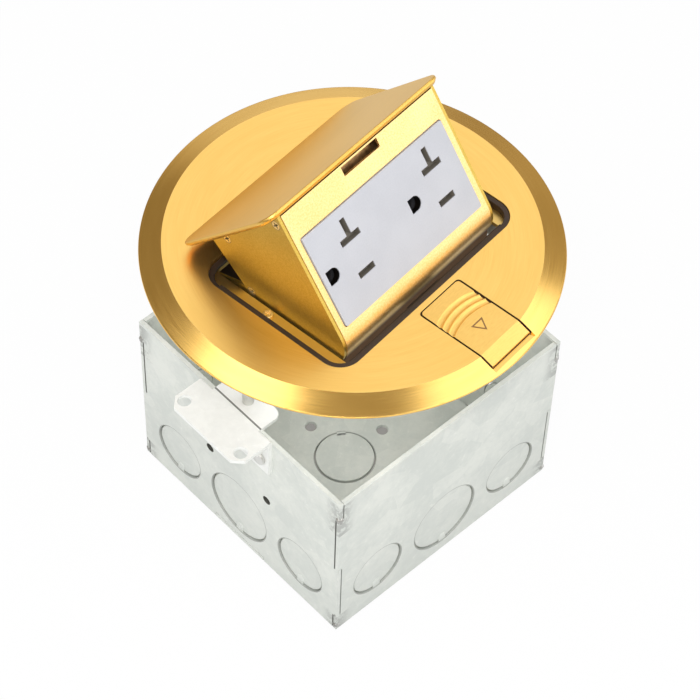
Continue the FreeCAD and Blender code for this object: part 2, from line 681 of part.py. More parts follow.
def latch_slider():
    half = LATCH_W / 2
    profile = [(LATCH_BACK, 0), (LATCH_BACK, -LATCH_T), (LATCH_TOE_AT, -LATCH_T), (LATCH_TOE_AT, -LATCH_TOE_T),
               (LATCH_END, -LATCH_TOE_T), (LATCH_END, -LATCH_BEVEL_DROP), (LATCH_BEVEL_AT, 0)]
    shape = sheet_along_x(profile, -half, half)
    back = [e for e in shape.Edges
            if abs(e.CenterOfMass.y - LATCH_BACK) < 0.01 and abs(e.CenterOfMass.x) > 0.9 * half]
    shape = shape.makeFillet(1.2, back)
    for i in range(GRIP_COUNT):
        groove = Part.makeTorus(GRIP_R, GRIP_TUBE)
        groove.translate(V(0, GRIP_FIRST - i * GRIP_PITCH - GRIP_R, GRIP_TUBE - GRIP_DEPTH))
        keep = block(-half - 1, half + 1, GRIP_FIRST - i * GRIP_PITCH - GRIP_R / 2, GRIP_FIRST + 5, -2, 3)
        shape = shape.cut(groove.common(keep))
    stem = block(-STEM_HALF, STEM_HALF, STEM_FROM, STEM_TO, TONGUE_Z + TONGUE_T, -LATCH_T + 0.01)
    shape = joined([shape, stem])
    return shape.cut(drum(SMALL_SCREW_R, TONGUE_Z, -LATCH_T + 0.6, 0, LATCH_SCREW_Y))


def latch_tongue():
    z0, z1 = TONGUE_Z, TONGUE_Z + TONGUE_T
    nose = [(TONGUE_OUT, z0), (TONGUE_TIP, z0), (TONGUE_TIP, z1 - TONGUE_NOSE), (TONGUE_TIP - TONGUE_NOSE, z1),
            (TONGUE_OUT, z1)]
    shape = sheet_along_x(nose, -TONGUE_HALF, TONGUE_HALF)
    tab = block(-TAB_HALF, TAB_HALF, TAB_Y, TAB_Y + TONGUE_T, TAB_BOTTOM, z0 + 0.01)
    return joined([shape, tab]).cut(drum(SMALL_SCREW_R, z0 - 1, z1 + 1, 0, LATCH_SCREW_Y))


def latch_screw():
    length = -LATCH_T + 0.5 - TONGUE_Z
    screw = pan_screw(SMALL_HEAD_R, SMALL_HEAD_T, SMALL_SCREW_R, length)
    screw.rotate(V(0, 0, 0), V(1, 0, 0), 180)
    screw.translate(V(0, LATCH_SCREW_Y, TONGUE_Z))
    return screw


def latch_spring():
    start = GUIDE_STOP_Y + 1 + LATCH_WIRE
    length = TAB_Y - LATCH_WIRE - start
    shape = coil(LATCH_COIL_R, LATCH_WIRE, LATCH_TURNS, length)
    shape.rotate(V(0, 0, 0), V(0, 0, 1), 90)
    shape.translate(V(0, start, (GUIDE_FLOOR + TONGUE_Z) / 2))
    return shape


# Pop-up

def lid():
    shape = slab(-LID_HALF, LID_HALF, LID_FRONT, LID_BACK, -LID_T, 0, LID_CORNER)
    under = [e for e in shape.Edges if abs(e.BoundBox.ZMax + LID_T) < 0.001]
    shape = shape.makeChamfer(LID_BEVEL, under)
    over = [e for e in shape.Edges if abs(e.BoundBox.ZMin) < 0.001]
    shape = shape.makeFillet(LID_SOFT, over)
    rail = block(FACE_HALF - RAIL_W, FACE_HALF, RAIL_FRONT, RAIL_BACK, -RAIL_DEPTH, -LID_T / 2)
    shape = joined([shape] + both_sides(rail))
    for y, z in SIDE_SCREW_SPOTS:
        for bore in both_sides(bar_x(SIDE_SCREW_R, FACE_HALF - RAIL_W - 1, FACE_HALF + 1, y, z)):
            shape = shape.cut(bore)
    return shape


def face_line(drop, inward):
    """Point (y, z) on the pop-up's front with the lid shut: so far down from the lid's top, so far inward."""
    angle = math.radians(FACE_LEAN)
    y = LID_FRONT + FACE_SETBACK + drop * math.sin(angle) + inward * math.cos(angle)
    z = -drop * math.cos(angle) + inward * math.sin(angle)
    return y, z


def rolled(inset, turn):
    """Point on the rolled lower edge, inset from its outer skin, after so many degrees of roll."""
    angle = math.radians(turn)
    radius = ROLL_R - inset
    return face_line(FACE_FLAT + radius * math.sin(angle), ROLL_R - radius * math.cos(angle))


def side_plate():
    """Side of the pop-up on the +X side, with its hinge arm."""
    x0 = FACE_HALF
    x1 = x0 + SIDE_T
    angle = math.radians(FACE_LEAN)
    top_drop = (LID_T + SIDE_SET_IN * math.sin(angle)) / math.cos(angle)
    front_top = face_line(top_drop, SIDE_SET_IN)
    front_low = face_line(FACE_FLAT, SIDE_SET_IN)
    roll_mid = rolled(SIDE_SET_IN, ROLL_TURN / 2)
    roll_end = rolled(SIDE_SET_IN, ROLL_TURN)
    corners = [V(x0, y, z) for y, z in (front_top, front_low, roll_mid, roll_end, (SIDE_BACK, SIDE_FOOT),
                                        (SIDE_BACK, -LID_T))]
    edges = [Part.LineSegment(corners[0], corners[1]).toShape(),
             Part.Arc(corners[1], corners[2], corners[3]).toShape(),
             Part.LineSegment(corners[3], corners[4]).toShape(),
             Part.LineSegment(corners[4], corners[5]).toShape(),
             Part.LineSegment(corners[5], corners[0]).toShape()]
    plate = Part.Face(Part.Wire(edges)).extrude(V(x1 - x0, 0, 0))
    arm = [(SIDE_BACK - 1, ARM_TOP)]
    for y, z, sign in ((SIDE_BACK, ARM_TOP, 1), (SIDE_BACK, ARM_BOTTOM, -1)):
        run = math.hypot(PIVOT_Y - y, PIVOT_Z - z)
        across = V(0, -(PIVOT_Z - z) / run, (PIVOT_Y - y) / run) * (sign * BOSS_R)
        arm.append((PIVOT_Y + across.y, PIVOT_Z + across.z))
    arm.append((SIDE_BACK - 1, ARM_BOTTOM))
    boss = bar_x(BOSS_R, x0, x1, PIVOT_Y, PIVOT_Z)
    shape = joined([plate, sheet_along_x(arm, x0, x1), boss])
    shape = shape.cut(bar_x(PIN_R + RUN_CLEAR, x0 - 1, x1 + 1, PIVOT_Y, PIVOT_Z))
    for y, z in SIDE_SCREW_SPOTS + (STAY_SCREW,):
        shape = shape.cut(Part.makeCone(SIDE_SCREW_R, SIDE_SCREW_HEAD_R, SIDE_T, V(x0, y, z), V(1, 0, 0)))
    return shape


def side_screws():
    """Countersunk screws, their heads flush with the side plates."""
    x0 = FACE_HALF
    screws = []
    for y, z in SIDE_SCREW_SPOTS + (STAY_SCREW,):
        head = Part.makeCone(SIDE_SCREW_R, SIDE_SCREW_HEAD_R, SIDE_T, V(x0, y, z), V(1, 0, 0))
        shank = bar_x(SIDE_SCREW_R, x0 - SIDE_SCREW_L + 0.6, x0 + 0.01, y, z)
        cross = cross_recess(SIDE_SCREW_HEAD_R, 0.8)
        cross.rotate(V(0, 0, 0), V(0, 1, 0), 90)
        cross.translate(V(x0 + SIDE_T, y, z))
        screws += both_sides(joined([head, shank]).cut(cross))
    return Part.makeCompound(screws)


def face_plate():
    """Front plate drawn flat, Y up and Z outwards, from the lid's top edge downwards."""
    def strip(outer, inner, x0, x1, top):
        start, end = V(x0, -FACE_FLAT, outer), V(x0, -FACE_FLAT, inner)

        def on_roll(inset, turn):
            angle = math.radians(turn)
            radius = ROLL_R + inset
            return V(x0, -FACE_FLAT - radius * math.sin(angle), -ROLL_R + radius * math.cos(angle))
        out_mid, out_end = on_roll(outer, ROLL_TURN / 2), on_roll(outer, ROLL_TURN)
        in_mid, in_end = on_roll(inner, ROLL_TURN / 2), on_roll(inner, ROLL_TURN)
        edges = [Part.LineSegment(V(x0, top, outer), start).toShape(),
                 Part.Arc(start, out_mid, out_end).toShape(),
                 Part.LineSegment(out_end, in_end).toShape(),
                 Part.Arc(in_end, in_mid, end).toShape(),
                 Part.LineSegment(end, V(x0, top, inner)).toShape(),
                 Part.LineSegment(V(x0, top, inner), V(x0, top, outer)).toShape()]
        return Part.Face(Part.Wire(edges)).extrude(V(x1 - x0, 0, 0))
    angle = math.radians(FACE_LEAN)
    top = -(LID_T + FACE_T * math.sin(angle)) / math.cos(angle) - LID_GAP
    skin = strip(0, -FACE_T, -FACE_HALF, FACE_HALF, top)
    under_lid = -RAIL_DEPTH - RETURN_DEPTH * math.sin(angle) - 0.6
    fold = block(FACE_HALF - FACE_T, FACE_HALF, -FACE_FLAT, under_lid, -RETURN_DEPTH, -FACE_T / 2)
    shape = joined([skin] + both_sides(fold))
    shape = shape.cut(block(-WINDOW_HALF, WINDOW_HALF, -WINDOW_BOTTOM, 0, -FACE_T - 1, 1))
    rivet = bar_x(STRAP_RIVET_R, FACE_HALF - 2 * FACE_T, FACE_HALF + 1, -DEVICE_DROP, STRAP_RIVET_Z)
    for bore in both_sides(rivet):
        shape = shape.cut(bore)
    x, y = SOCKET_HALF_X + SOCKET_FIT, SOCKET_HALF_Y + SOCKET_FIT
    return shape.cut(slab(-x, x, -DEVICE_DROP - y, -DEVICE_DROP + y, -FACE_T - 1, 1, 0.8))


def rear_stay():
    half = FACE_HALF
    shape = block(-half, half, STAY_Y, SIDE_BACK, STAY_Z, STAY_Z + STAY_H)
    for bore in both_sides(bar_x(SIDE_SCREW_R, half - SIDE_SCREW_L, half + 1, *STAY_SCREW)):
        shape = shape.cut(bore)
    return shape


# Twin socket, each outlet drawn about its ground hole

def neutral_slot(x, grow, z0, z1):
    centre = x + GROUND_TO_BLADES
    wide = SLOT_W / 2 + grow
    long_half = NEUTRAL_LONG / 2 + grow
    bar = block(centre - long_half, centre + long_half, BLADE_OFFSET - wide, BLADE_OFFSET + wide, z0, z1)
    stem = block(centre - wide, centre + wide, BLADE_OFFSET, BLADE_OFFSET + STEM_LONG + grow, z0, z1)
    return bar.fuse(stem)


def hot_slot(x, grow, z0, z1):
    centre = x + GROUND_TO_BLADES
    long_half = HOT_LONG / 2 + grow
    wide = SLOT_W / 2 + grow
    return block(centre - long_half, centre + long_half, -BLADE_OFFSET - wide, -BLADE_OFFSET + wide, z0, z1)


def ground_hole(x, grow, z0, z1):
    round_part = drum(GROUND_R + grow, z0, z1, x, 0)
    square_part = block(x - GROUND_R - grow, x, -GROUND_R - grow, GROUND_R + grow, z0, z1)
    return round_part.fuse(square_part)


FACE_BACK = SOCKET_PROUD - SOCKET_FACE_T
SKIRT_TOP = -FACE_T


def receptacle_face():
    x, y = SOCKET_HALF_X, SOCKET_HALF_Y
    shape = slab(-x, x, -y, y, FACE_BACK, SOCKET_PROUD, 0.6)
    edge = [e for e in shape.Edges if abs(e.BoundBox.ZMin - SOCKET_PROUD) < 0.001]
    shape = shape.makeFillet(0.3, edge)
    skirt = block(-x - SKIRT, x + SKIRT, -y - SKIRT, y + SKIRT, FACE_BACK, SKIRT_TOP)
    roll_starts = DEVICE_DROP - FACE_FLAT
    skirt = skirt.cut(block(-x - SKIRT, x + SKIRT, -y - SKIRT, roll_starts, SKIRT_TOP - 0.2, SKIRT_TOP))
    shape = joined([shape, skirt])
    for ground in GROUND_X:
        for cut in (neutral_slot, hot_slot, ground_hole):
            shape = shape.cut(cut(ground, 0, -SLOT_CUT, SLOT_CUT))
    return shape


def shutter_sides(ground):
    """Edges of a shutter at rest: it reaches just past the slots it covers."""
    centre = ground + GROUND_TO_BLADES
    return (centre + SHUTTER_LEFT, centre + NEUTRAL_LONG / 2 + SHUTTER_LAP,
            -BLADE_OFFSET - SLOT_W / 2 - SHUTTER_LAP / 2, BLADE_OFFSET + STEM_LONG + SHUTTER_LAP)


def shutter(ground):
    """Shutter of one outlet, drawn over the slots it covers; it slides aside on a slant."""
    z1 = FACE_BACK - SHUTTER_GAP
    z0 = z1 - SHUTTER_T
    x0, x1, y0, y1 = shutter_sides(ground)
    shape = block(x0, x1, y0, y1, z0, z1)
    opening = neutral_slot(ground, 0.05, z0 - 1, z1 + 1)
    clear = drum(GROUND_R + 1.5, z0 - 1, z1 + 1, ground, 0)
    for cutter in (opening, clear):
        cutter.translate(V(SHUTTER_SHIFT[0], SHUTTER_SHIFT[1], 0))
        shape = shape.cut(cutter)
    return shape


def shutter_room(ground):
    x0, x1, y0, y1 = shutter_sides(ground)
    gap = SHUTTER_SIDE_GAP
    return (x0 - SHUTTER_SHIFT[0] - 2 * gap, x1 + gap, y0 - gap, y1 - SHUTTER_SHIFT[1] + gap)


def shutter_springs():
    """Bowed leaf beside each shutter that pushes it back over the slots."""
    leaves = []
    half = LEAF_SPRING_T / 2
    z1 = FACE_BACK - SHUTTER_GAP
    for ground in GROUND_X:
        wall = shutter_room(ground)[0] + 0.02
        edge = shutter_sides(ground)[0] - 0.02
        middle = (wall + edge) / 2
        low, high = LEAF_SPRING_Y - LEAF_SPRING_HALF, LEAF_SPRING_Y + LEAF_SPRING_HALF
        outline = [(wall, low), (wall + 2 * half, low), (edge, LEAF_SPRING_Y - 0.5), (edge, LEAF_SPRING_Y + 0.5),
                   (wall + 2 * half, high), (wall, high), (middle, LEAF_SPRING_Y + 1.4),
                   (edge - 3 * half, LEAF_SPRING_Y), (middle, LEAF_SPRING_Y - 1.4)]
        leaves.append(sheet_along_z(outline, z1 - SHUTTER_T, z1))
    return Part.makeCompound(leaves)


def receptacle_body():
    """Back housing with a room for the shutters and cavities for the contacts."""
    y = SOCKET_HALF_Y + SKIRT
    back = FACE_BACK - BODY_DEPTH
    shape = block(-BODY_HALF_X, BODY_HALF_X, -y, y, back, FACE_BACK)
    room_floor = FACE_BACK - SHUTTER_ROOM
    for ground in GROUND_X:
        x0, x1, y0, y1 = shutter_room(ground)
        shape = shape.cut(block(x0, x1, y0, y1, room_floor, 1))
        blades = (neutral_slot(ground, 0.15, LEAF_TOP - 1, 0), hot_slot(ground, 0.15, LEAF_TOP - 1, 0))
        for cutter in blades + (ground_hole(ground, 0.15, GROUND_BAR_Z + 4, 0),):
            shape = shape.cut(cutter)
        shape = shape.cut(drum(GROUND_R + 1.3, GROUND_BAR_Z - 1, -GROUND_ROOM_TOP, ground, 0))
    for sign in (-1, 1):
        y0, y1 = sorted((sign * (BLADE_OFFSET - 2.4), sign * (BLADE_OFFSET + (3.0 if sign < 0 else 7.8))))
        shape = shape.cut(block(GROUND_X[0] + 6, BODY_HALF_X - 2, y0, y1, LEAF_BOTTOM - 1, LEAF_TOP))
    shape = shape.cut(block(GROUND_X[0] - 4.2, GROUND_X[1] + 6, -3.2, 3.2, back - 1, GROUND_BAR_Z))
    for x in TERMINAL_X:
        for sign in (-1, 1):
            low, high = sorted((sign * (y - TERMINAL_L), sign * (y + 1)))
            shape = shape.cut(bar_y(TERMINAL_R, low, high, x, TERMINAL_Z))
    return shape


def blade_contacts(sign):
    """Strip with two pairs of spring leaves; sign -1 is the hot side, +1 the neutral side."""
    parts = []
    outer = sign * (BLADE_OFFSET + BLADE_GAP / 2 + LEAF_T)
    for ground in GROUND_X:
        centre = ground + GROUND_TO_BLADES
        left, right = centre - LEAF_LONG / 2, centre + LEAF_LONG / 2
        for side in (-1, 1):
            y = sign * BLADE_OFFSET + side * (BLADE_GAP / 2 + LEAF_T / 2)
            parts.append(block(left, right, y - LEAF_T / 2, y + LEAF_T / 2, LEAF_BOTTOM, LEAF_TOP - 0.3))
        y, wide = sign * BLADE_OFFSET, BLADE_GAP / 2 + LEAF_T
        parts.append(block(left, right, y - wide, y + wide, LEAF_BOTTOM, LEAF_BOTTOM + BAR_T))
    x0, x1 = GROUND_X[0] + GROUND_TO_BLADES, GROUND_X[1] + GROUND_TO_BLADES
    y0, y1 = sorted((outer, outer - sign * LEAF_T))
    parts.append(block(x0, x1, y0, y1, LEAF_BOTTOM, LEAF_BOTTOM + 4))
    return joined(parts)


def ground_contacts():
    bar = block(GROUND_X[0] - 3.5, GROUND_X[1] + 5, -3.0, 3.0, GROUND_BAR_Z - BAR_T, GROUND_BAR_Z)
    parts = [bar]
    for ground in GROUND_X:
        tube = drum(GROUND_R + 0.9, GROUND_BAR_Z - 0.01, -GROUND_TUBE_TOP, ground, 0)
        parts.append(tube)
    shape = joined(parts)
    for ground in GROUND_X:
        shape = shape.cut(drum(GROUND_R, GROUND_BAR_Z + 2, 0, ground, 0))
    return shape


def terminal_screws(sign):
    """Two side terminals; the head stands just off the housing, its shank holds the wire plate."""
    y = SOCKET_HALF_Y + SKIRT
    screws = []
    for x in TERMINAL_X:
        screw = pan_screw(TERMINAL_HEAD_R, TERMINAL_HEAD_T, TERMINAL_R, TERMINAL_L)
        screw.rotate(V(0, 0, 0), V(1, 0, 0), -90 * sign)
        screw.translate(V(x, sign * y, TERMINAL_Z))
        screws.append(screw)
    return Part.makeCompound(screws)


def receptacle_strap():
    """Steel strap round the back of the housing, its legs against the face plate's folded sides."""
    back = FACE_BACK - BODY_DEPTH
    legs_out = FACE_HALF - FACE_T
    shape = block(-legs_out, legs_out, -STRAP_HALF, STRAP_HALF, back - STRAP_T, -RETURN_DEPTH + 4)
    inside = block(-legs_out + STRAP_T, legs_out - STRAP_T, -STRAP_HALF - 1, STRAP_HALF + 1, back, 0)
    shape = shape.cut(inside).cut(drum(TERMINAL_R, back - STRAP_T - 1, back + 1, GROUND_TERMINAL_X, 0))
    for rivet in both_sides(bar_x(STRAP_RIVET_R, legs_out - 2 * STRAP_T, legs_out + 1, 0, STRAP_RIVET_Z)):
        shape = shape.cut(rivet)
    return shape


def strap_rivets():
    inner = FACE_HALF - FACE_T - STRAP_T
    return Part.makeCompound(both_sides(bar_x(STRAP_RIVET_R, inner, FACE_HALF, 0, STRAP_RIVET_Z)))


def ground_terminal_screw():
    screw = pan_screw(TERMINAL_HEAD_R, TERMINAL_HEAD_T, TERMINAL_R, STRAP_T)
    screw.rotate(V(0, 0, 0), V(1, 0, 0), 180)
    screw.translate(V(GROUND_TERMINAL_X, 0, FACE_BACK - BODY_DEPTH - STRAP_T))
    return screw


NODES = {
    "box_body": box_body(),
    "box_side_right": box_side(),
    "box_side_left": mirrored(box_side()),
    "bracket_right": bracket(),
    "bracket_left": mirrored(bracket()),
    "bracket_rivets": bracket_rivets(),
    "ground_screw": ground_screw(),
    "levelling_screws": levelling_screws(),
    "cover_plate": seat(cover_plate()),
    "opening_gasket": seat(opening_gasket()),
    "floor_seal": seat(floor_seal()),
    "tilt_frame": seat(tilt_frame()),
    "cover_screws": seat(cover_screws()),
    "pivot_rod": seat(pivot_rod()),
    "rod_clips": seat(rod_clips()),
    "rod_washers": seat(rod_washers()),
    "lift_springs": seat(lift_springs()),
    "latch_guide": seat(latch_guide()),
    "guide_screws": seat(guide_screws()),
    "latch_slider": seat(latch_slider()),
    "latch_tongue": seat(latch_tongue()),
    "latch_screw": seat(latch_screw()),
    "latch_spring": seat(latch_spring()),
    "lid": lift(lid()),
    "side_plate_right": lift(side_plate()),
    "side_plate_left": lift(mirrored(side_plate())),
    "side_screws": lift(side_screws()),
    "face_plate": lift(lean(face_plate())),
    "rear_stay": lift(rear_stay()),
    "receptacle_face": in_socket(receptacle_face()),
    "receptacle_body": in_socket(receptacle_body()),
    "receptacle_strap": in_socket(receptacle_strap()),
    "hot_contacts": in_socket(blade_contacts(-1)),
    "neutral_contacts": in_socket(blade_contacts(1)),
    "ground_contacts": in_socket(ground_contacts()),
    "terminal_screws_hot": in_socket(terminal_screws(-1)),
    "terminal_screws_neutral": in_socket(terminal_screws(1)),
    "ground_terminal_screw": in_socket(ground_terminal_screw()),
    "strap_rivets": in_socket(strap_rivets()),
    "shutter_springs": in_socket(shutter_springs()),
    "shutter_left": in_socket(shutter(GROUND_X[0])),
    "shutter_right": in_socket(shutter(GROUND_X[1])),
}

os.makedirs("parts", exist_ok=True)
for name, shape in NODES.items():
    solids = shape.Solids
    print(name, "solids", len(solids), "valid", shape.isValid(), "volume", round(shape.Volume, 1))
    shape.exportStep("parts/" + name + ".step")
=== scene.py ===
# %% [markdown]
# # A pop-up floor socket box
# A round brass cover lies on the floor and a steel box hangs below it. When the latch is slid outwards, a
# twin socket tilts up out of the cover on a hinge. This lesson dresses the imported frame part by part:
# first the helpers, then the finishes, then the pieces from the cover inwards, and last the light and the
# camera.

# %% Frame
import math

import bmesh
import bpy
from mathutils import Matrix, Vector, noise


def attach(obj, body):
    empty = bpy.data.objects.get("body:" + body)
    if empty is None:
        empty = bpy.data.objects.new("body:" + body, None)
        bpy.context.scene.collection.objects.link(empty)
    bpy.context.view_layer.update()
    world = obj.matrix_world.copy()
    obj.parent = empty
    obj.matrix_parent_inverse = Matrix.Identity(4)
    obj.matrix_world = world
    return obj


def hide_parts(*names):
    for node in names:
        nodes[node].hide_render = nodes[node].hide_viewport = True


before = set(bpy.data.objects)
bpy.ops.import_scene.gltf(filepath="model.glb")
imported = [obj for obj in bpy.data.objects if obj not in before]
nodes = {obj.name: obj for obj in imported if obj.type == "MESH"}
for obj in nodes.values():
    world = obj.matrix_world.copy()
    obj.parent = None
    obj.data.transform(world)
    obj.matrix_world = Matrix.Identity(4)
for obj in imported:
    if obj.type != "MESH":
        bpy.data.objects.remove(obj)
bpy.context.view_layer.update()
MM = 0.001

# %% [markdown]
# Each part is drawn lying straight, in millimetres: the cover and latch about the middle of the cover's
# top, the pop-up as if it were shut, its front plate and its socket flat. The matrices below take such a
# drawing to where the part stands in the frame, with the socket raised.

# %% Places
BOX_SIDE = 101.6
BOX_DEPTH = 76.2
WALL = BOX_SIDE / 2
SHEET = 1.6
COVER_RISE = 49.5
COVER_TOP = BOX_DEPTH + COVER_RISE
COVER_TURN = 6.6
PIVOT = Vector((0, 35.4, -13.3))
LIFT = 48.0
LID_FRONT = -31.5
FACE_SETBACK = 0.5
FACE_FOOT = LID_FRONT + FACE_SETBACK
FACE_LEAN = 12.8
SOCKET_DROP = 29.45


def turn(degrees, axis):
    return Matrix.Rotation(math.radians(degrees), 4, axis)


ON_BOX = Matrix.Identity(4)
ON_COVER = Matrix.Translation((0, 0, COVER_TOP)) @ turn(COVER_TURN, "Z")
ON_POPUP = ON_COVER @ Matrix.Translation(PIVOT) @ turn(-LIFT, "X") @ Matrix.Translation(-PIVOT)
ON_FACE = ON_POPUP @ Matrix.Translation((0, FACE_FOOT, 0)) @ turn(90 + FACE_LEAN, "X")
ON_SOCKET = ON_FACE @ Matrix.Translation((0, -SOCKET_DROP, 0))
print("middle of the socket, mm:", [round(v, 1) for v in ON_SOCKET.translation])

# %% [markdown]
# Sheet metal and mouldings are made of a few plain forms: a slab with round corners, a profile pushed
# along a line, a profile spun about an axis, and a round rod. Each starts a bmesh and shapes it with
# operators.

# %% Plain forms


def bevelled(bm, edges, width, steps, clamped=False):
    bmesh.ops.bevel(bm, geom=edges, offset=width, offset_type="OFFSET", segments=steps, profile=0.5,
                    affect="EDGES", clamp_overlap=clamped, material=-1)


def slab(x0, x1, y0, y1, z0, z1, corner=0.0, steps=10):
    """Block with its four upright edges rounded."""
    bm = bmesh.new()
    bmesh.ops.create_cube(bm, size=1)
    bmesh.ops.scale(bm, vec=(x1 - x0, y1 - y0, z1 - z0), verts=bm.verts)
    bmesh.ops.translate(bm, vec=((x0 + x1) / 2, (y0 + y1) / 2, (z0 + z1) / 2), verts=bm.verts)
    if corner:
        upright = [e for e in bm.edges if abs(e.verts[0].co.z - e.verts[1].co.z) > 0.5 * (z1 - z0)]
        bevelled(bm, upright, corner, steps)
    return bm


def pushed(points, x0, x1):
    """Profile of (y, z) points, pushed along X."""
    bm = bmesh.new()
    face = bm.faces.new([bm.verts.new((x0, y, z)) for y, z in points])
    copied = bmesh.ops.extrude_face_region(bm, geom=[face])["geom"]
    far_end = [part for part in copied if isinstance(part, bmesh.types.BMVert)]
    bmesh.ops.translate(bm, vec=(x1 - x0, 0, 0), verts=far_end)
    bmesh.ops.recalc_face_normals(bm, faces=bm.faces)
    return bm


def spun(points, steps=160):
    """Profile of (radius, z) points, spun about Z; it starts and ends on the axis or closes on itself."""
    bm = bmesh.new()
    row = [bm.verts.new((r, 0, z)) for r, z in points]
    edges = [bm.edges.new(pair) for pair in zip(row, row[1:])]
    if points[0][0] > 0 and points[-1][0] > 0:
        edges.append(bm.edges.new((row[-1], row[0])))
    bmesh.ops.spin(bm, geom=row + edges, cent=(0, 0, 0), axis=(0, 0, 1), angle=math.tau, steps=steps,
                   use_merge=True)
    bmesh.ops.remove_doubles(bm, verts=bm.verts, dist=1e-4)
    bmesh.ops.recalc_face_normals(bm, faces=bm.faces)
    return bm


def rod(radius, z0, z1, x=0.0, y=0.0, steps=40):
    """Round bar along Z."""
    bm = bmesh.new()
    bmesh.ops.create_cone(bm, cap_ends=True, segments=steps, radius1=radius, radius2=radius, depth=z1 - z0)
    bmesh.ops.translate(bm, vec=(x, y, (z0 + z1) / 2), verts=bm.verts)
    return bm


print("plain forms: slab, pushed, spun, rod")

# %% [markdown]
# Openings are cut with the Boolean modifier, because a slot through a finished plate is easier to read
# than a plate built round a slot. The result is read back into a bmesh, and points that the cut left almost
# together are merged.

# %% Joining and cutting
TOUCHING = 0.003


def moved(bm, matrix):
    bm.transform(matrix)
    return bm


def joined(*forms):
    """Several closed forms as one mesh, not cut into each other."""
    mesh = bpy.data.meshes.new("joined")
    whole = bmesh.new()
    for bm in forms:
        bm.to_mesh(mesh)
        whole.from_mesh(mesh)
        bm.free()
    bpy.data.meshes.remove(mesh)
    return whole


def carved(bm, cutters, operation="DIFFERENCE"):
    """bm with each cutter taken away from it, or added to it."""
    made = []
    for form in [bm] + cutters:
        mesh = bpy.data.meshes.new("form")
        form.to_mesh(mesh)
        form.free()
        made.append(bpy.data.objects.new("form", mesh))
        bpy.context.scene.collection.objects.link(made[-1])
    for tool in made[1:]:
        step = made[0].modifiers.new("cut", "BOOLEAN")
        step.object = tool
        step.operation = operation
        step.solver = "EXACT"
    bpy.context.view_layer.update()
    result = made[0].evaluated_get(bpy.context.evaluated_depsgraph_get())
    out = bmesh.new()
    out.from_mesh(result.to_mesh())
    result.to_mesh_clear()
    for obj in made:
        mesh = obj.data
        bpy.data.objects.remove(obj)
        bpy.data.meshes.remove(mesh)
    bmesh.ops.remove_doubles(out, verts=out.verts, dist=TOUCHING)
    bmesh.ops.dissolve_degenerate(out, edges=out.edges, dist=TOUCHING)
    return out


print("points closer than", TOUCHING, "mm are merged after a cut")

# %% [markdown]
# Real edges are never knife-sharp, and it is the small bevel along an edge that catches the light. Where
# the frame already has a part's right shape, it is read from there, cleaned, and given the same soft
# edges.

# %% Soft edges


def softened(bm, width, sharper_than=50.0, steps=2):
    """Rounds each edge that is sharper than an angle."""
    limit = math.radians(sharper_than)
    edges = [e for e in bm.edges if len(e.link_faces) == 2 and e.calc_face_angle(0) > limit]
    bevelled(bm, edges, width, steps, clamped=True)
    return bm


def from_node(name):
    """The CAD node's own shape as clean faces, in millimetres."""
    bm = bmesh.new()
    bm.from_mesh(nodes[name].data)
    bmesh.ops.scale(bm, vec=(1 / MM,) * 3, verts=bm.verts)
    bmesh.ops.remove_doubles(bm, verts=bm.verts, dist=0.002)
    bmesh.ops.dissolve_limit(bm, angle_limit=math.radians(1.0), verts=bm.verts, edges=bm.edges)
    return bm


# %% [markdown]
# A finished form is moved to its place and rides on its body, so that it swings or slides with the joint,
# and the nodes of the frame that it stands for are hidden. Large faces are shaded flat: a wide plate whose
# corners are rounded would otherwise show a false gradient. Edges sharper than the crease stay crisp.

# %% Placing a piece
FLAT_OVER = 150.0


def piece(name, bm, place, body, finish, stands_for=(), crease=38.0):
    """Puts a form, drawn in millimetres, where it belongs and makes it ride on its body."""
    for face in bm.faces:
        face.smooth = face.calc_area() < FLAT_OVER
    bm.transform(Matrix.Scale(MM, 4) @ place)
    for edge in bm.edges:
        edge.smooth = len(edge.link_faces) == 2 and edge.calc_face_angle(0) < math.radians(crease)
    mesh = bpy.data.meshes.new(name)
    bm.to_mesh(mesh)
    bm.free()
    obj = bpy.data.objects.new(name, mesh)
    bpy.context.scene.collection.objects.link(obj)
    mesh.materials.append(finish)
    evened = obj.modifiers.new("even normals", "WEIGHTED_NORMAL")
    evened.keep_sharp = True
    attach(obj, body)
    if stands_for:
        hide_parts(*stands_for)
    print("made", name, len(mesh.polygons), "faces")
    return obj


# %% [markdown]
# A finish is a small program of shader nodes. Written as a list of links it is hard to follow, so a value
# in a material gets the usual arithmetic: an expression such as `0.3 + 0.1 * grain` adds the Math nodes
# itself.

# %% Values with arithmetic


def operation(kind, turned=False):
    """Method that adds a Math node of two values."""

    def method(self, other):
        pair = (other, self) if turned else (self, other)
        return self.shader.node("ShaderNodeMath", {"operation": kind}, dict(enumerate(pair)))

    return method


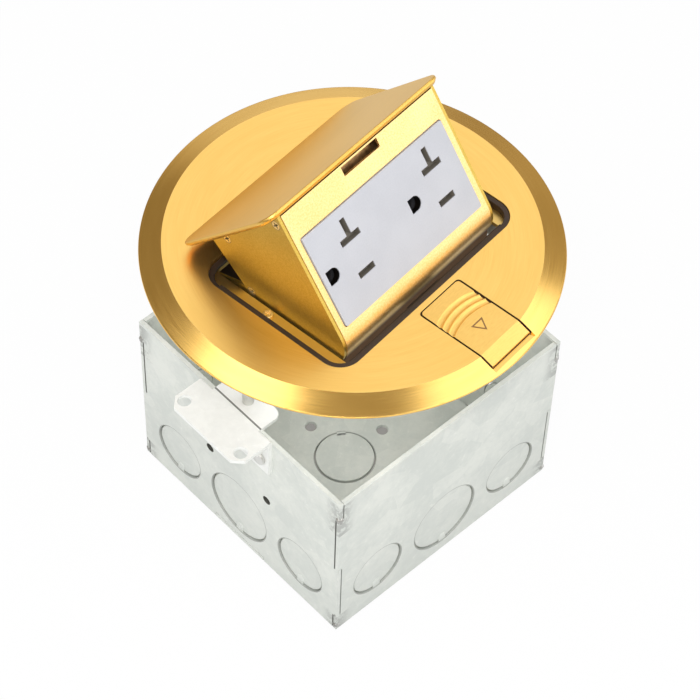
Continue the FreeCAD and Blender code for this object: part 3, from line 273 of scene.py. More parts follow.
class Value:
    """One output socket, with arithmetic."""

    __add__ = operation("ADD")
    __radd__ = operation("ADD", turned=True)
    __sub__ = operation("SUBTRACT")
    __rsub__ = operation("SUBTRACT", turned=True)
    __mul__ = operation("MULTIPLY")
    __rmul__ = operation("MULTIPLY", turned=True)
    __truediv__ = operation("DIVIDE")
    lesser = operation("MINIMUM")
    greater = operation("MAXIMUM")

    def __init__(self, shader, socket):
        self.shader = shader
        self.socket = socket

    def root(self):
        return self.shader.node("ShaderNodeMath", {"operation": "SQRT"}, {0: self})

    def size(self):
        return self.shader.node("ShaderNodeMath", {"operation": "ABSOLUTE"}, {0: self})

    def clipped(self):
        return self.shader.node("ShaderNodeClamp", {}, {0: self, 1: 0.0, 2: 1.0})

    def between(self, low, high):
        """0 below low, 1 above high, smooth in between."""
        return self.shader.node("ShaderNodeMapRange", {"interpolation_type": "SMOOTHSTEP"},
                                {0: self, 1: low, 2: high, 3: 0.0, 4: 1.0})

    def near(self, middle, half):
        """1 near a value, 0 away from it."""
        return 1.0 - (self - middle).size().between(half, half + 0.08)

    def within(self, *spans):
        """1 inside any of the spans."""
        inside = [self.between(low - 0.1, low + 0.1) * (1.0 - self.between(high - 0.1, high + 0.1))
                  for low, high in spans]
        return sum(inside[1:], inside[0])


def reach(first, second):
    """Distance from an axis, of two offsets from it."""
    return (first * first + second * second).root()


# %% [markdown]
# One method adds any node: its type, then its settings, then the values or links of its sockets. Colours
# are blended by a Mix node, because a Math node would turn them grey.

# %% Node trees


class Shader:
    """A node tree that grows by expressions."""

    def __init__(self, tree):
        self.tree = tree

    def node(self, kind, settings=None, inputs=None, output=0):
        made = self.tree.nodes.new(kind)
        for key, value in (settings or {}).items():
            setattr(made, key, value)
        for key, value in (inputs or {}).items():
            if isinstance(value, Value):
                self.tree.links.new(value.socket, made.inputs[key])
            else:
                made.inputs[key].default_value = value
        return made if output is None else Value(self, made.outputs[output])

    def parts(self, vector):
        made = self.node("ShaderNodeSeparateXYZ", {}, {0: vector}, output=None)
        return [Value(self, made.outputs[i]) for i in range(3)]

    def vector(self, x, y, z):
        return self.node("ShaderNodeCombineXYZ", {}, {0: x, 1: y, 2: z})

    def noise(self, vector, scale=1.0, detail=3.0, rough=0.55):
        inputs = {"Vector": vector, "Scale": scale, "Detail": detail, "Roughness": rough}
        return self.node("ShaderNodeTexNoise", {}, inputs)

    def cells(self, vector, scale=1.0):
        return self.node("ShaderNodeTexVoronoi", {}, {"Vector": vector, "Scale": scale}, output=1)

    def ray(self, kind):
        return self.node("ShaderNodeLightPath", output="Is " + kind + " Ray")

    def mix(self, factor, *colours):
        first, second = (tint if isinstance(tint, Value) else (*tint, 1.0) for tint in colours)
        return self.node("ShaderNodeMix", {"data_type": "RGBA"}, {0: factor, 6: first, 7: second}, output=2)


# %% [markdown]
# A finish reads Object coordinates in millimetres, seen from the part's own origin and axes. So a pattern
# is written in the same numbers as the part: a line of dirt along a seam needs only the seam's own place.

# %% Finish


class Finish(Shader):
    """A material with one Principled shader."""

    def __init__(self, name):
        self.material = bpy.data.materials.new(name)
        self.material.use_nodes = True
        super().__init__(self.material.node_tree)
        self.shader = self.tree.nodes["Principled BSDF"]

    def place(self, matrix=ON_BOX):
        """Object coordinates in millimetres, seen from a piece's own place."""
        spot = self.node("ShaderNodeTexCoord", output=3)
        back = (Matrix.Scale(MM, 4) @ matrix).inverted()
        move, spin, size = back.decompose()
        inputs = {"Vector": spot, "Location": move, "Rotation": spin.to_euler(), "Scale": size}
        return self.node("ShaderNodeMapping", {"vector_type": "POINT"}, inputs)

    def bump(self, height, depth_mm):
        inputs = {"Strength": 1.0, "Distance": depth_mm * MM, "Height": height}
        return self.node("ShaderNodeBump", {}, inputs)

    def finish(self, **sockets):
        for key, value in sockets.items():
            socket = self.shader.inputs[key.replace("_", " ")]
            if isinstance(value, Value):
                self.tree.links.new(value.socket, socket)
            else:
                socket.default_value = value
        print("finish:", self.material.name)
        return self.material


# Colour of grime and painted shade in the narrow gaps round the latch.
GRIME_AND_SHADE = (0.06, 0.03, 0.012)

# %% [markdown]
# The cover's sizes come first, because its finish needs some of them: the slope of the rim is polished, the
# ledge in the opening is painted darker as shade in its recess, and grime and painted shade darken the
# narrow gap round the latch.

# %% Sizes of cover and latch
COVER_R = 69.85
FLAT_R = 62.3
RIM_DROP = 2.8
PLATE_T = 3.4
OPENING = (-44.5, 44.5, -34.0, 27.4)
OPENING_CORNER = 8.0
LEDGE = -3.1
LEDGE_BOTTOM = -4.6
POCKET_HALF = 9.95
POCKET_BACK = -36.0
LATCH_HALF = 9.3
LATCH_BACK = -36.4
LATCH_END = -66.0
print("opening, mm:", OPENING[1] - OPENING[0], "x", OPENING[3] - OPENING[2])

# %% [markdown]
# The cover is turned and brushed on a lathe, so its grain runs in circles. Polar coordinates about its
# axis stretch a noise into long arcs: fast across the radius, slow along the turn. The grain bends the
# normals as well as the colour, which spreads the reflection across the grain just as real brushing does.

# %% Turned brass


def under_skin(z):
    """1 a little below the flat top, 0 on it."""
    return 1.0 - z.between(-0.16, -0.12)


def turned_brass(name, bright, deep):
    f = Finish(name)
    x, y, z = f.parts(f.place(ON_COVER))
    radius = reach(x, y)
    east, north = x / radius, y / radius
    fine = f.noise(f.vector(radius * 3.2, east * 5.0, north * 5.0), detail=4.0)
    broad = f.noise(f.vector(radius * 0.5, east * 2.2, north * 2.2), detail=2.0)
    cloud = f.noise(f.vector(x * 0.02, y * 0.02, z * 0.02), detail=1.0)
    shade = (0.5 * fine + 0.3 * broad + 0.2 * cloud).between(0.30, 0.70)
    rim = radius.between(FLAT_R - 0.2, FLAT_R + 0.2)
    # Grime and painted shade on the pocket's walls below the top, in the gap round the latch.
    beside = 1.0 - x.size().between(POCKET_HALF + 0.03, POCKET_HALF + 0.07)
    before_back = 1.0 - y.between(POCKET_BACK, POCKET_BACK + 0.04)
    grime_and_shade = beside * before_back * under_skin(z) * y.between(LATCH_END - 0.4, LATCH_END - 0.2)
    # Painted shade: the ledge down in the opening is drawn darker.
    sunk = (1.0 - z.between(LEDGE + 0.05, LEDGE + 0.2)) * (1.0 - radius.between(58.0, 60.0))
    colour = f.mix(sunk, f.mix(shade, deep, bright), (0.76, 0.52, 0.17))
    return f.finish(Base_Color=f.mix(grime_and_shade, colour, GRIME_AND_SHADE), Metallic=1.0 - grime_and_shade,
                    Roughness=0.30 + 0.10 * fine - 0.15 * rim + 0.3 * grime_and_shade,
                    Normal=f.bump(fine * (1.0 - 0.7 * rim), 0.008))


cover_brass = turned_brass("cover brass", (0.99, 0.64, 0.19), (0.91, 0.56, 0.145))

# %% [markdown]
# Lid and latch have a satin finish that is rubbed in straight lines. The same noise is stretched along one
# axis. The lid's underside is painted dark as shade, so that the cover mirrors shade under the lid, and the
# sides of the latch carry grime and painted shade where they stand in the gap.

# %% Satin brass
LID_T = 2.0


def straight_brass(name, place, bright, deep, along=0.05, across=3.0, grime_and_shade_beyond=0.0, shade_under=0.0):
    """Satin finish along X, with grime and painted shade past a half width (grime_and_shade_beyond), and
    painted shade under a height (shade_under).
    """
    f = Finish(name)
    x, y, z = f.parts(f.place(place))
    fine = f.noise(f.vector(x * along, y * across, z * across), detail=4.0)
    cloud = f.noise(f.vector(x * 0.02, y * 0.03, z * 0.03), detail=1.0)
    colour = f.mix((0.6 * fine + 0.4 * cloud).between(0.30, 0.70), deep, bright)
    metal = 1.0
    if shade_under:
        # Painted shade: the underside is drawn dark brown and less metallic.
        under = 1.0 - z.between(shade_under, shade_under + 0.1)
        colour = f.mix(under, colour, (0.09, 0.05, 0.02))
        metal = 1.0 - 0.5 * under
    if grime_and_shade_beyond:
        # Grime and painted shade on the latch's sides and back end, down in the gap.
        back = y.between(LATCH_BACK - 0.06, LATCH_BACK - 0.02)
        grime_and_shade = (x.size().between(grime_and_shade_beyond - 0.04, grime_and_shade_beyond) + back).clipped() * under_skin(z)
        colour = f.mix(grime_and_shade, colour, GRIME_AND_SHADE)
        metal = 1.0 - grime_and_shade
    return f.finish(Base_Color=colour, Metallic=metal, Roughness=0.33 + 0.10 * fine,
                    Normal=f.bump(fine, 0.006))


lid_brass = straight_brass("lid brass", ON_POPUP, (0.90, 0.58, 0.15), (0.80, 0.50, 0.11),
                           shade_under=0.05 - LID_T)
latch_brass = straight_brass("latch brass", ON_COVER, (0.97, 0.63, 0.19), (0.88, 0.55, 0.15),
                             along=0.5, across=2.0, grime_and_shade_beyond=LATCH_HALF - 0.05)
contact_brass = straight_brass("contact brass", ON_SOCKET, (0.92, 0.64, 0.26), (0.76, 0.50, 0.18))

# %% [markdown]
# The front and sides of the pop-up are blasted with fine grit, so their grain has no direction. Down in the
# roll of the front plate, where it turns under, shade is painted in and the brass goes dark.

# %% Blasted brass


def grained_brass(name, place, bright, deep, grain=2.6, rough=0.36, depth=0.02, shade_from=None):
    """Blasted finish; shade_from is the span of depths over which painted shade takes over."""
    f = Finish(name)
    spot = f.place(place)
    fine = f.noise(spot, scale=grain, detail=3.0)
    cloud = f.noise(spot, scale=0.05, detail=1.0)
    colour = f.mix((0.75 * fine + 0.25 * cloud).between(0.34, 0.66), deep, bright)
    metal = 1.0
    dullness = rough + 0.12 * fine
    if shade_from:
        # Painted shade, dark brown and dull, deeper than the span.
        darkening = 1.0 - f.parts(spot)[2].between(*shade_from)
        colour = f.mix(darkening, colour, (0.11, 0.055, 0.02))
        metal = 1.0 - darkening
        dullness = dullness + 0.4 * darkening
    return f.finish(Base_Color=colour, Metallic=metal, Roughness=dullness, Normal=f.bump(fine, depth))


face_brass = grained_brass("face brass", ON_FACE, (0.96, 0.71, 0.35), (0.84, 0.57, 0.21), grain=1.7,
                           depth=0.05, shade_from=(-4.4, -1.4))
side_brass = grained_brass("side brass", ON_POPUP, (0.64, 0.46, 0.11), (0.53, 0.36, 0.07), grain=2.0)
screw_brass = grained_brass("screw brass", ON_POPUP, (0.95, 0.72, 0.36), (0.82, 0.58, 0.24),
                            grain=1.0, depth=0.004)
striker_brass = grained_brass("striker brass", ON_FACE, (0.62, 0.40, 0.20), (0.36, 0.22, 0.10),
                              grain=0.5)
# A dark sheet that stands for the shade under the roll: its span of depths lies far out, so the painted
# shade covers all of it.
shadow_sheet_dark = grained_brass("painted shadow sheet", ON_FACE, (0.10, 0.055, 0.025), (0.06, 0.033, 0.015),
                           rough=0.7, shade_from=(50.0, 60.0))

# %% [markdown]
# The countersunk screws in the pop-up's sides show a dark cross and a dark ring: the cross is painted shade
# in the recess, and the ring is a dark joint round the head. Both are drawn about each screw's own middle.

# %% Screw heads
SCREW_HEADS = ((-26.9, -4.3), (3.9, -4.2), (10.4, -24.0))
CROSS_HALF = 0.26


def countersunk(name):
    f = Finish(name)
    spot = f.place(ON_POPUP)
    y, z = f.parts(spot)[1:]
    fine = f.noise(spot, scale=1.0, detail=3.0)
    marks = []
    for head_y, head_z in SCREW_HEADS:
        side, up = y - head_y, z - head_z
        far = reach(side, up)
        # Painted shade in the cross recess.
        cross = (side.near(0.0, CROSS_HALF) + up.near(0.0, CROSS_HALF)).clipped()
        cross = cross * (1.0 - far.between(1.1, 1.2))
        rim = far.between(1.5, 1.62) * (1.0 - far.between(2.0, 2.2))
        marks.append(cross + 0.8 * rim)
    darkening = sum(marks[1:], marks[0]).clipped()
    clean = f.mix(fine, (0.80, 0.58, 0.22), (0.93, 0.72, 0.34))
    return f.finish(Base_Color=f.mix(darkening, clean, (0.07, 0.035, 0.01)), Metallic=1.0 - darkening,
                    Roughness=0.3 + 0.1 * fine + 0.2 * darkening)


head_brass = countersunk("screw heads")

# %% [markdown]
# The box's walls are joined by fingers, and each joint shows as a thin dark line; the brackets' folds show
# such lines too. Beside the knock-outs' slits and inside the small holes, shade is painted as dark lines.
# All are drawn from the box's own sizes, symmetric about its middle.

# %% Lines on the steel
FINGERS = (8.0, 37.0, 66.5)
KO_SMALL = 11.1
KO_LARGE = 14.3
KO_PITCH = 31.8
KO_HEIGHT = 19.3
KO_SHADE_OUT = 0.15
KO_SHADE_HALF = 0.13
SIDE_HOLE_R = 1.6
SIDE_HOLE_Y = 14.7
SIDE_HOLE_Z = 40.0
JOINT_AT = WALL - SHEET - 0.1


def seam_lines(wide, long, z):
    """Joints of the fingers on the end walls and on the body, and the fold along the brackets."""
    low, middle, top = FINGERS
    on_ends = z.within((0.5, low), (middle, top - 0.5))
    on_body = z.within((low + 0.5, middle - 0.5), (top + 0.3, BOX_DEPTH - 0.7))
    end_seam = long.near(JOINT_AT, 0.28) * wide.between(WALL - 0.3, WALL - 0.2) * on_ends
    body_seam = wide.near(JOINT_AT, 0.22) * long.between(WALL - 0.3, WALL - 0.2) * on_body
    bracket_top = BOX_DEPTH + SHEET
    fold = wide.near(WALL - 0.45, 0.30) * z.between(bracket_top - 0.3, bracket_top - 0.2)
    return 0.9 * end_seam + 0.6 * body_seam + 0.8 * fold


def slit_lines(wide, long, z, outside):
    """Shade beside the slit round each knock-out, on the walls and in the floor."""
    across = wide.lesser(long)
    rise = z - KO_HEIGHT
    small = reach(across - KO_PITCH, rise).near(KO_SMALL + KO_SHADE_OUT, KO_SHADE_HALF)
    large = reach(across, rise).near(KO_LARGE + KO_SHADE_OUT, KO_SHADE_HALF)
    in_floor = reach(wide, long).near(KO_SMALL + KO_SHADE_OUT, KO_SHADE_HALF)
    return (small + large).clipped() * outside + in_floor * (1.0 - z.between(SHEET + 0.6, SHEET + 0.7))


def hole_shade(wide, y, z):
    """Shade inside the two small holes of each end wall."""
    rims = [1.0 - reach(y - at, z - SIDE_HOLE_Z).between(SIDE_HOLE_R + 0.15, SIDE_HOLE_R + 0.3)
            for at in (SIDE_HOLE_Y, -SIDE_HOLE_Y)]
    return (rims[0] + rims[1]) * wide.between(WALL - 1.8, WALL - 1.7)


print("seams at", JOINT_AT, "mm, knock-out shade at", KO_SMALL + KO_SHADE_OUT, KO_LARGE + KO_SHADE_OUT)

# %% [markdown]
# Galvanised sheet is bright but not shiny: zinc crystals a few millimetres across each lean their own way,
# and handling leaves pale scuffs and dull patches over them. Three scales of pattern are mixed here, so
# that no single one is seen to repeat. Near the corners the zinc is burnt grey by the welds.

# %% Galvanised sheet


def galvanised(name, bright, dull, metal):
    f = Finish(name)
    spot = f.place()
    x, y, z = f.parts(spot)
    wide, long = x.size(), y.size()
    outside = wide.greater(long).between(WALL - 1.9, WALL - 1.8)
    crystal = f.parts(f.cells(spot, scale=0.11))[0]
    patch = f.noise(spot, scale=0.045, detail=4.0)
    scuff = f.noise(f.place(turn(38, "Z") @ turn(20, "X")), scale=0.35, detail=6.0, rough=0.7)
    pale = (0.10 * crystal + 0.55 * patch + 0.35 * scuff).between(0.36, 0.64)
    # Seam lines are dark joints; the marks by the knock-outs' slits and in the small holes are painted
    # shade.
    darkening = seam_lines(wide, long, z) + 0.5 * slit_lines(wide, long, z, outside) + hole_shade(wide, y, z)
    near_corner = 1.0 - reach(wide - WALL, long - WALL).between(1.0, 8.0)
    smudge = near_corner * scuff.between(0.40, 0.55) * z.within((-1.0, 8.0), (58.0, 75.0))
    # The outside of the walls is drawn darker towards the bottom.
    low = 1.0 - z.between(2.0, 60.0)
    colour = f.mix(scuff.between(0.60, 0.74) * 0.45, f.mix(pale, dull, bright), (0.93, 0.94, 0.90))
    colour = f.mix(0.30 * low * outside, colour, (0.48, 0.50, 0.47))
    colour = f.mix(0.55 * smudge, colour, (0.22, 0.23, 0.22))
    colour = f.mix(darkening.clipped(), colour, (0.06, 0.06, 0.05))
    return f.finish(Base_Color=colour, Metallic=metal, Roughness=0.40 + 0.22 * patch,
                    Normal=f.bump(0.5 * scuff + 0.5 * patch, 0.05))


zinc_sheet = galvanised("zinc sheet", (0.75, 0.77, 0.72), (0.63, 0.66, 0.62), metal=0.12)
zinc_bright = galvanised("zinc bracket", (0.89, 0.90, 0.87), (0.81, 0.82, 0.79), metal=0.1)

# %% [markdown]
# Screws, springs and the hidden frame are plated steel, and differ only in colour and in how dull they are.
# The latch's tongue is drawn near black, a painted shade where it shows down in the gap. The bonding screws
# are dyed green.

# %% Plated steel


def plated(name, bright, dull, place=ON_BOX, rough=0.30):
    f = Finish(name)
    spot = f.place(place)
    patch = f.noise(spot, scale=0.12, detail=3.0)
    fine = f.noise(spot, scale=1.6, detail=3.0)
    return f.finish(Base_Color=f.mix(patch.between(0.35, 0.65), dull, bright), Metallic=1.0,
                    Roughness=rough + 0.14 * fine, Normal=f.bump(fine, 0.008))


def dyed_screw(name):
    f = Finish(name)
    fine = f.noise(f.place(), scale=1.2, detail=3.0)
    return f.finish(Base_Color=f.mix(fine.between(0.4, 0.6), (0.03, 0.20, 0.07), (0.06, 0.34, 0.12)),
                    Metallic=0.6, Roughness=0.32 + 0.1 * fine, Normal=f.bump(fine, 0.006))


weld_grey = plated("weld grey", (0.58, 0.58, 0.56), (0.34, 0.34, 0.33), rough=0.42)
screw_zinc = plated("screw zinc", (0.74, 0.74, 0.71), (0.58, 0.58, 0.56))
frame_steel = plated("frame steel", (0.62, 0.61, 0.57), (0.46, 0.45, 0.42), ON_COVER, rough=0.38)
spring_wire = plated("spring wire", (0.60, 0.60, 0.58), (0.44, 0.44, 0.43), ON_COVER, rough=0.26)
# Painted shade: the latch's tongue is drawn near black.
tongue_shade_black = plated("tongue shade black", (0.05, 0.045, 0.04), (0.03, 0.027, 0.024), ON_COVER, rough=0.45)
silver_plate = plated("silver plate", (0.80, 0.80, 0.78), (0.66, 0.66, 0.65), ON_SOCKET)
green_dye = dyed_screw("green dye")

# %% [markdown]
# The socket is moulded nylon, a cool grey with a faint lavender cast and a soft gloss. Moulded faces carry
# a very fine texture from the tool. No light gets deep into a slot: the blade slots go dull brown with
# depth, and the ground holes go black. The seals are darker and duller still.

# %% Plastic and rubber
SLOT_FIELD = (32.0, 15.0)
GROUND_FIELD = 3.0


def moulded(name, pale, deep, place, gloss=0.36, grain=1.8, depth=0.006, slots=False):
    """Moulded finish; with slots, whatever lies deep between the outlets' slots is dark."""
    f = Finish(name)
    spot = f.place(place)
    fine = f.noise(spot, scale=grain, detail=2.0)
    cloud = f.noise(spot, scale=0.06, detail=2.0)
    colour = f.mix((0.4 * fine + 0.6 * cloud).between(0.35, 0.65), deep, pale)
    if slots:
        x, y, z = f.parts(spot)
        sunk = 1.0 - z.between(0.05, 0.35)
        for offset, half in zip((x, y), SLOT_FIELD):
            sunk = sunk * (1.0 - offset.size().between(half, half + 0.1))
        in_ground = 1.0 - y.size().between(GROUND_FIELD, GROUND_FIELD + 0.1)
        colour = f.mix(sunk, colour, f.mix(in_ground, (0.19, 0.17, 0.14), (0.004, 0.003, 0.002)))
    return f.finish(Base_Color=colour, Metallic=0.0, Roughness=gloss + 0.10 * fine,
                    Normal=f.bump(fine, depth))


socket_nylon = moulded("socket nylon", (0.55, 0.56, 0.60), (0.51, 0.52, 0.56), ON_SOCKET, slots=True)
socket_back = moulded("socket back", (0.05, 0.05, 0.055), (0.03, 0.03, 0.033), ON_SOCKET, gloss=0.5)
shutter_nylon = moulded("shutter nylon", (0.26, 0.23, 0.19), (0.21, 0.185, 0.155), ON_SOCKET,
                        gloss=0.45, slots=True)
arrow_brown = moulded("arrow brown", (0.26, 0.13, 0.04), (0.20, 0.10, 0.03), ON_COVER, gloss=0.5)
seal_rubber = moulded("seal rubber", (0.036, 0.018, 0.008), (0.022, 0.011, 0.005), ON_COVER,
                      gloss=0.55, grain=1.2, depth=0.02)
foam_seal = moulded("foam seal", (0.035, 0.035, 0.035), (0.02, 0.02, 0.02), ON_COVER, gloss=0.7,
                    grain=2.5, depth=0.05)

# %% [markdown]
# ## The cover
# The cover is a casting, turned to a flat top with a sloping rim. A stepped opening takes the lid: the lid
# lies flush in the top, and a ledge three millimetres down carries the seal. At the front a pocket holds
# the latch. A spun disc gives the casting, and the opening, pocket and slots are cut from it.

# %% Cover plate
COLLAR = 3.0
SEAL_W = 2.0
WELL_HALF = 38.0
POCKET_DEPTH = 2.0
TOE_DEPTH = 2.8
STEM_SLOT_HALF = 4.3
TONGUE_SLOT_HALF = 7.8
LEDGE_SCREW_X = 40.2


def grown(box, by):
    return (box[0] - by, box[1] + by, box[2] - by, box[3] + by)


disc = spun([(0, 0), (FLAT_R, 0), (COVER_R - 0.5, -RIM_DROP + 0.1), (COVER_R - 0.12, -RIM_DROP - 0.1),
             (COVER_R, -RIM_DROP - 0.4), (COVER_R, -PLATE_T), (0, -PLATE_T)], steps=256)
collar = slab(*grown(OPENING, COLLAR), LEDGE_BOTTOM, -PLATE_T / 2, OPENING_CORNER + COLLAR, steps=12)
casting = carved(disc, [collar], "UNION")
rebate = slab(*OPENING, LEDGE, 1, OPENING_CORNER, steps=16)
well = slab(-WELL_HALF, WELL_HALF, OPENING[2] + SEAL_W, OPENING[3] - SEAL_W, LEDGE_BOTTOM - 1, 1, 1.5,
            steps=5)
pocket = slab(-POCKET_HALF, POCKET_HALF, -60.0, POCKET_BACK, -POCKET_DEPTH, 1, 1.4, steps=5)
toe = slab(-POCKET_HALF, POCKET_HALF, -68.0, -58.4, -TOE_DEPTH, 1)
stem_slot = slab(-STEM_SLOT_HALF, STEM_SLOT_HALF, -59.0, -48.7, -PLATE_T - 1, 0)
tongue_slot = slab(-TONGUE_SLOT_HALF, TONGUE_SLOT_HALF, OPENING[2], OPENING[2] + SEAL_W + 1,
                   LEDGE_BOTTOM - 1, LEDGE)
screw_holes = [rod(1.3, LEDGE_BOTTOM - 1, 0, x, 1.0, steps=24) for x in (-LEDGE_SCREW_X, LEDGE_SCREW_X)]
cover = carved(casting, [rebate, well, pocket, toe, stem_slot, tongue_slot] + screw_holes)
softened(cover, 0.22, sharper_than=40.0)
cover_made = piece("cover_casting", cover, ON_COVER, "base", cover_brass, ["cover_plate"],
                   crease=12.0)

# %% [markdown]
# Smooth shading would pull the light askew beside the notches in the flat top, so the faces at the top
# level are shaded flat.

# %% Flat top
top_level = max(vert.co.z for vert in cover_made.data.vertices)
flat_top = [face for face in cover_made.data.polygons if face.center.z > top_level - 0.001 * MM]
for face in flat_top:
    face.use_smooth = False
print("faces at the top level:", len(flat_top))

# %% [markdown]
# The seal is a soft dark strip that lines the opening. Along the back it is cut low, because the rear edge
# of the lid swings out over it. Along the front it has a lip, which reaches in towards the rolled edge.

# %% Opening seal
SEAL_TOP = -0.3
strip = slab(*OPENING, LEDGE, SEAL_TOP, OPENING_CORNER, steps=16)
inside = slab(*grown(OPENING, -SEAL_W), LEDGE - 1, 1, OPENING_CORNER - SEAL_W, steps=16)
low_back = slab(-50, 50, 19.1, 40, -1.5, 1)
lip = slab(-38.4, 38.4, -32.6, -30.6, -3.05, -2.2)
strip = carved(strip, [inside, low_back])
strip = softened(joined(strip, lip), 0.3, steps=3)
piece("opening_seal", strip, ON_COVER, "base", seal_rubber, ["opening_gasket"])

# %% [markdown]
# Behind the socket no daylight comes up. A dark sheet in the seal's rubber finish closes the frame's rear
# half from below and stands for that shade; it ends before the pop-up's arms and stay come down past it.

# %% Rear shade sheet
SHADE_SHEET_HALF = 35.2
shade_sheet = slab(-SHADE_SHEET_HALF, SHADE_SHEET_HALF, 15.0, 41.9, -19.4, -18.6, 2.0, steps=4)
shade_sheet = softened(shade_sheet, 0.2)
piece("rear_shade_sheet", shade_sheet, ON_COVER, "base", seal_rubber)

# %% [markdown]
# ## The latch
# A thumb slides this block outwards. Three curved grooves are ground across its back half for grip, a
# triangle shows the way, and its toe follows the slope of the rim. The grooves are cut with thin rings.

# %% Latch slider
LATCH_T = 1.9
TOE_T = 2.65
latch_line = [(LATCH_BACK, 0), (LATCH_BACK, -LATCH_T), (-60.2, -LATCH_T), (-60.2, -TOE_T)]
latch_line += [(LATCH_END, -TOE_T), (LATCH_END, -1.75), (-61.2, 0)]
block = pushed(latch_line, -LATCH_HALF, LATCH_HALF)
back_corners = [e for e in block.edges if abs(e.verts[0].co.y - LATCH_BACK) < 0.01
                and abs(e.verts[1].co.y - LATCH_BACK) < 0.01 and abs(e.verts[0].co.z - e.verts[1].co.z) > 1]
bevelled(block, back_corners, 1.2, 5)
stem = slab(-4, 4, -57, -49, -3.5, -1.0)
block = carved(block, [stem], "UNION")
GRIP_R = 24.0
GRIP_TUBE = 1.3
GRIP_FIRST = -42.2
GRIP_PITCH = 2.55
GRIP_DEPTH = 0.55
grooves = []
for i in range(3):
    y = GRIP_FIRST - GRIP_PITCH * i
    ring = bmesh.new()
    bmesh.ops.create_circle(ring, segments=48, radius=GRIP_TUBE,
                            matrix=Matrix.Translation((GRIP_R, 0, 0)) @ turn(90, "X"))
    bmesh.ops.spin(ring, geom=ring.verts[:] + ring.edges[:], cent=(0, 0, 0), axis=(0, 0, 1), angle=math.tau,
                   steps=160, use_merge=True)
    bmesh.ops.recalc_face_normals(ring, faces=ring.faces)
    bmesh.ops.translate(ring, vec=(0, y - GRIP_R, GRIP_TUBE - GRIP_DEPTH), verts=ring.verts)
    grooves.append(ring)
grooves = [carved(ring, [slab(-30, 30, -60, -30, -5, 5)], "INTERSECT") for ring in grooves]
block = carved(block, grooves)
softened(block, 0.25)
piece("latch_block", block, ON_COVER, "latch", latch_brass, ["latch_slider"], crease=15.0)

# %% [markdown]
# The triangle is only an outline: a face is inset, its middle is taken out, and the rest gets a thickness.

# %% Arrow on the latch
arrow = bmesh.new()
outer = [arrow.verts.new((x, y, 0.012)) for x, y in ((-2.7, -51.7), (2.7, -51.7), (0, -56.2))]
arrow.faces.new(outer)
bmesh.ops.recalc_face_normals(arrow, faces=arrow.faces)
rim_faces = bmesh.ops.inset_region(arrow, faces=arrow.faces[:], use_boundary=True, use_even_offset=True,
                                   thickness=0.46)["faces"]
inner_faces = [f for f in arrow.faces if f not in rim_faces]
bmesh.ops.delete(arrow, geom=inner_faces, context="FACES")
bmesh.ops.solidify(arrow, geom=arrow.faces[:], thickness=0.06)
bmesh.ops.recalc_face_normals(arrow, faces=arrow.faces)
piece("latch_arrow", arrow, ON_COVER, "latch", arrow_brown)

# %% [markdown]
# ## The lid
# The lid is a flat plate with round corners. Its lower edge is cut back, so that it clears the opening as
# it swings, and two rails under it take the side screws.

# %% Lid
LID_HALF = 41.8
LID_BACK = 25.1
LID_CORNER = 6.0
RAIL_W = 2.2
plate = slab(-LID_HALF, LID_HALF, LID_FRONT, LID_BACK, -LID_T, 0, LID_CORNER, steps=14)
under = [e for e in plate.edges if max(v.co.z for v in e.verts) < 0.01 - LID_T and len(e.link_faces) == 2
         and e.calc_face_angle(0) > 1]
bevelled(plate, under, 1.0, 1)
over = [e for e in plate.edges if min(v.co.z for v in e.verts) > -0.01 and e.calc_face_angle(0) > 1]
bevelled(plate, over, 0.55, 4)
rails = [slab(x0, x0 + RAIL_W, -28.2, 9.0, -6.4, -1.0) for x0 in (-36.0, 33.8)]
piece("lid_plate", joined(plate, *rails), ON_POPUP, "popup", lid_brass, ["lid"], crease=34.0)

# %% [markdown]
# ## The front of the pop-up
# The front is one folded sheet: it leans back from the lid, carries the socket, and rolls under at the
# bottom. A window below the lid lets the latch's tongue in. The profile is pushed along the hinge's
# direction.

# %% Front plate
FACE_HALF = 36.0
FACE_T = 1.2
FACE_FLAT = 48.0
ROLL_R = 11.0
ROLL_STEPS = 14
ROLL_TURN = 70.0
WINDOW_HALF = 8.4
WINDOW_SPAN = (-6.2, -3.1)
SEAT_X = 33.65
SEAT_Y = 16.9


def roll_point(inset, degrees):
    angle = math.radians(degrees)
    radius = ROLL_R + inset
    return (-FACE_FLAT - radius * math.sin(angle), -ROLL_R + radius * math.cos(angle))


turns = [ROLL_TURN * i / ROLL_STEPS for i in range(ROLL_STEPS + 1)]
front_line = [(-2.4, 0)] + [roll_point(0, a) for a in turns]
front_line += [roll_point(-FACE_T, a) for a in reversed(turns)] + [(-2.4, -FACE_T)]
front = pushed(front_line, -FACE_HALF, FACE_HALF)
folds = [slab(x0, x0 + FACE_T, -FACE_FLAT, -8.8, -8.0, -0.6) for x0 in (-FACE_HALF, FACE_HALF - FACE_T)]
front = carved(front, folds, "UNION")
window = slab(-WINDOW_HALF, WINDOW_HALF, *WINDOW_SPAN, -3, 1)
seat = slab(-SEAT_X, SEAT_X, -SOCKET_DROP - SEAT_Y, -SOCKET_DROP + SEAT_Y, -3, 1, 0.8, steps=4)
front = softened(carved(front, [window, seat]), 0.2, sharper_than=40.0)
piece("front_plate", front, ON_FACE, "popup", face_brass, ["face_plate"], crease=30.0)

# %% [markdown]
# Under the rolled edge lies a dark brown band with no daylight. A dark sheet behind the roll is put there as
# painted shadow for that band: it hangs straight down when the socket is up. A striker stands behind the
# latch window.

# %% Shadow sheet and striker
SHADOW_SHEET_DROP = 6.5
SHADOW_SHEET_HALF = 35.9
SHADOW_SHEET_LOW_HALF = 37.5
hang = math.radians(LIFT - FACE_LEAN)
fall = Vector((-math.cos(hang), -math.sin(hang)))
thin = Vector((-fall.y, fall.x)) * 0.5
root = Vector(roll_point(-FACE_T - 0.4, ROLL_TURN - 6.0))


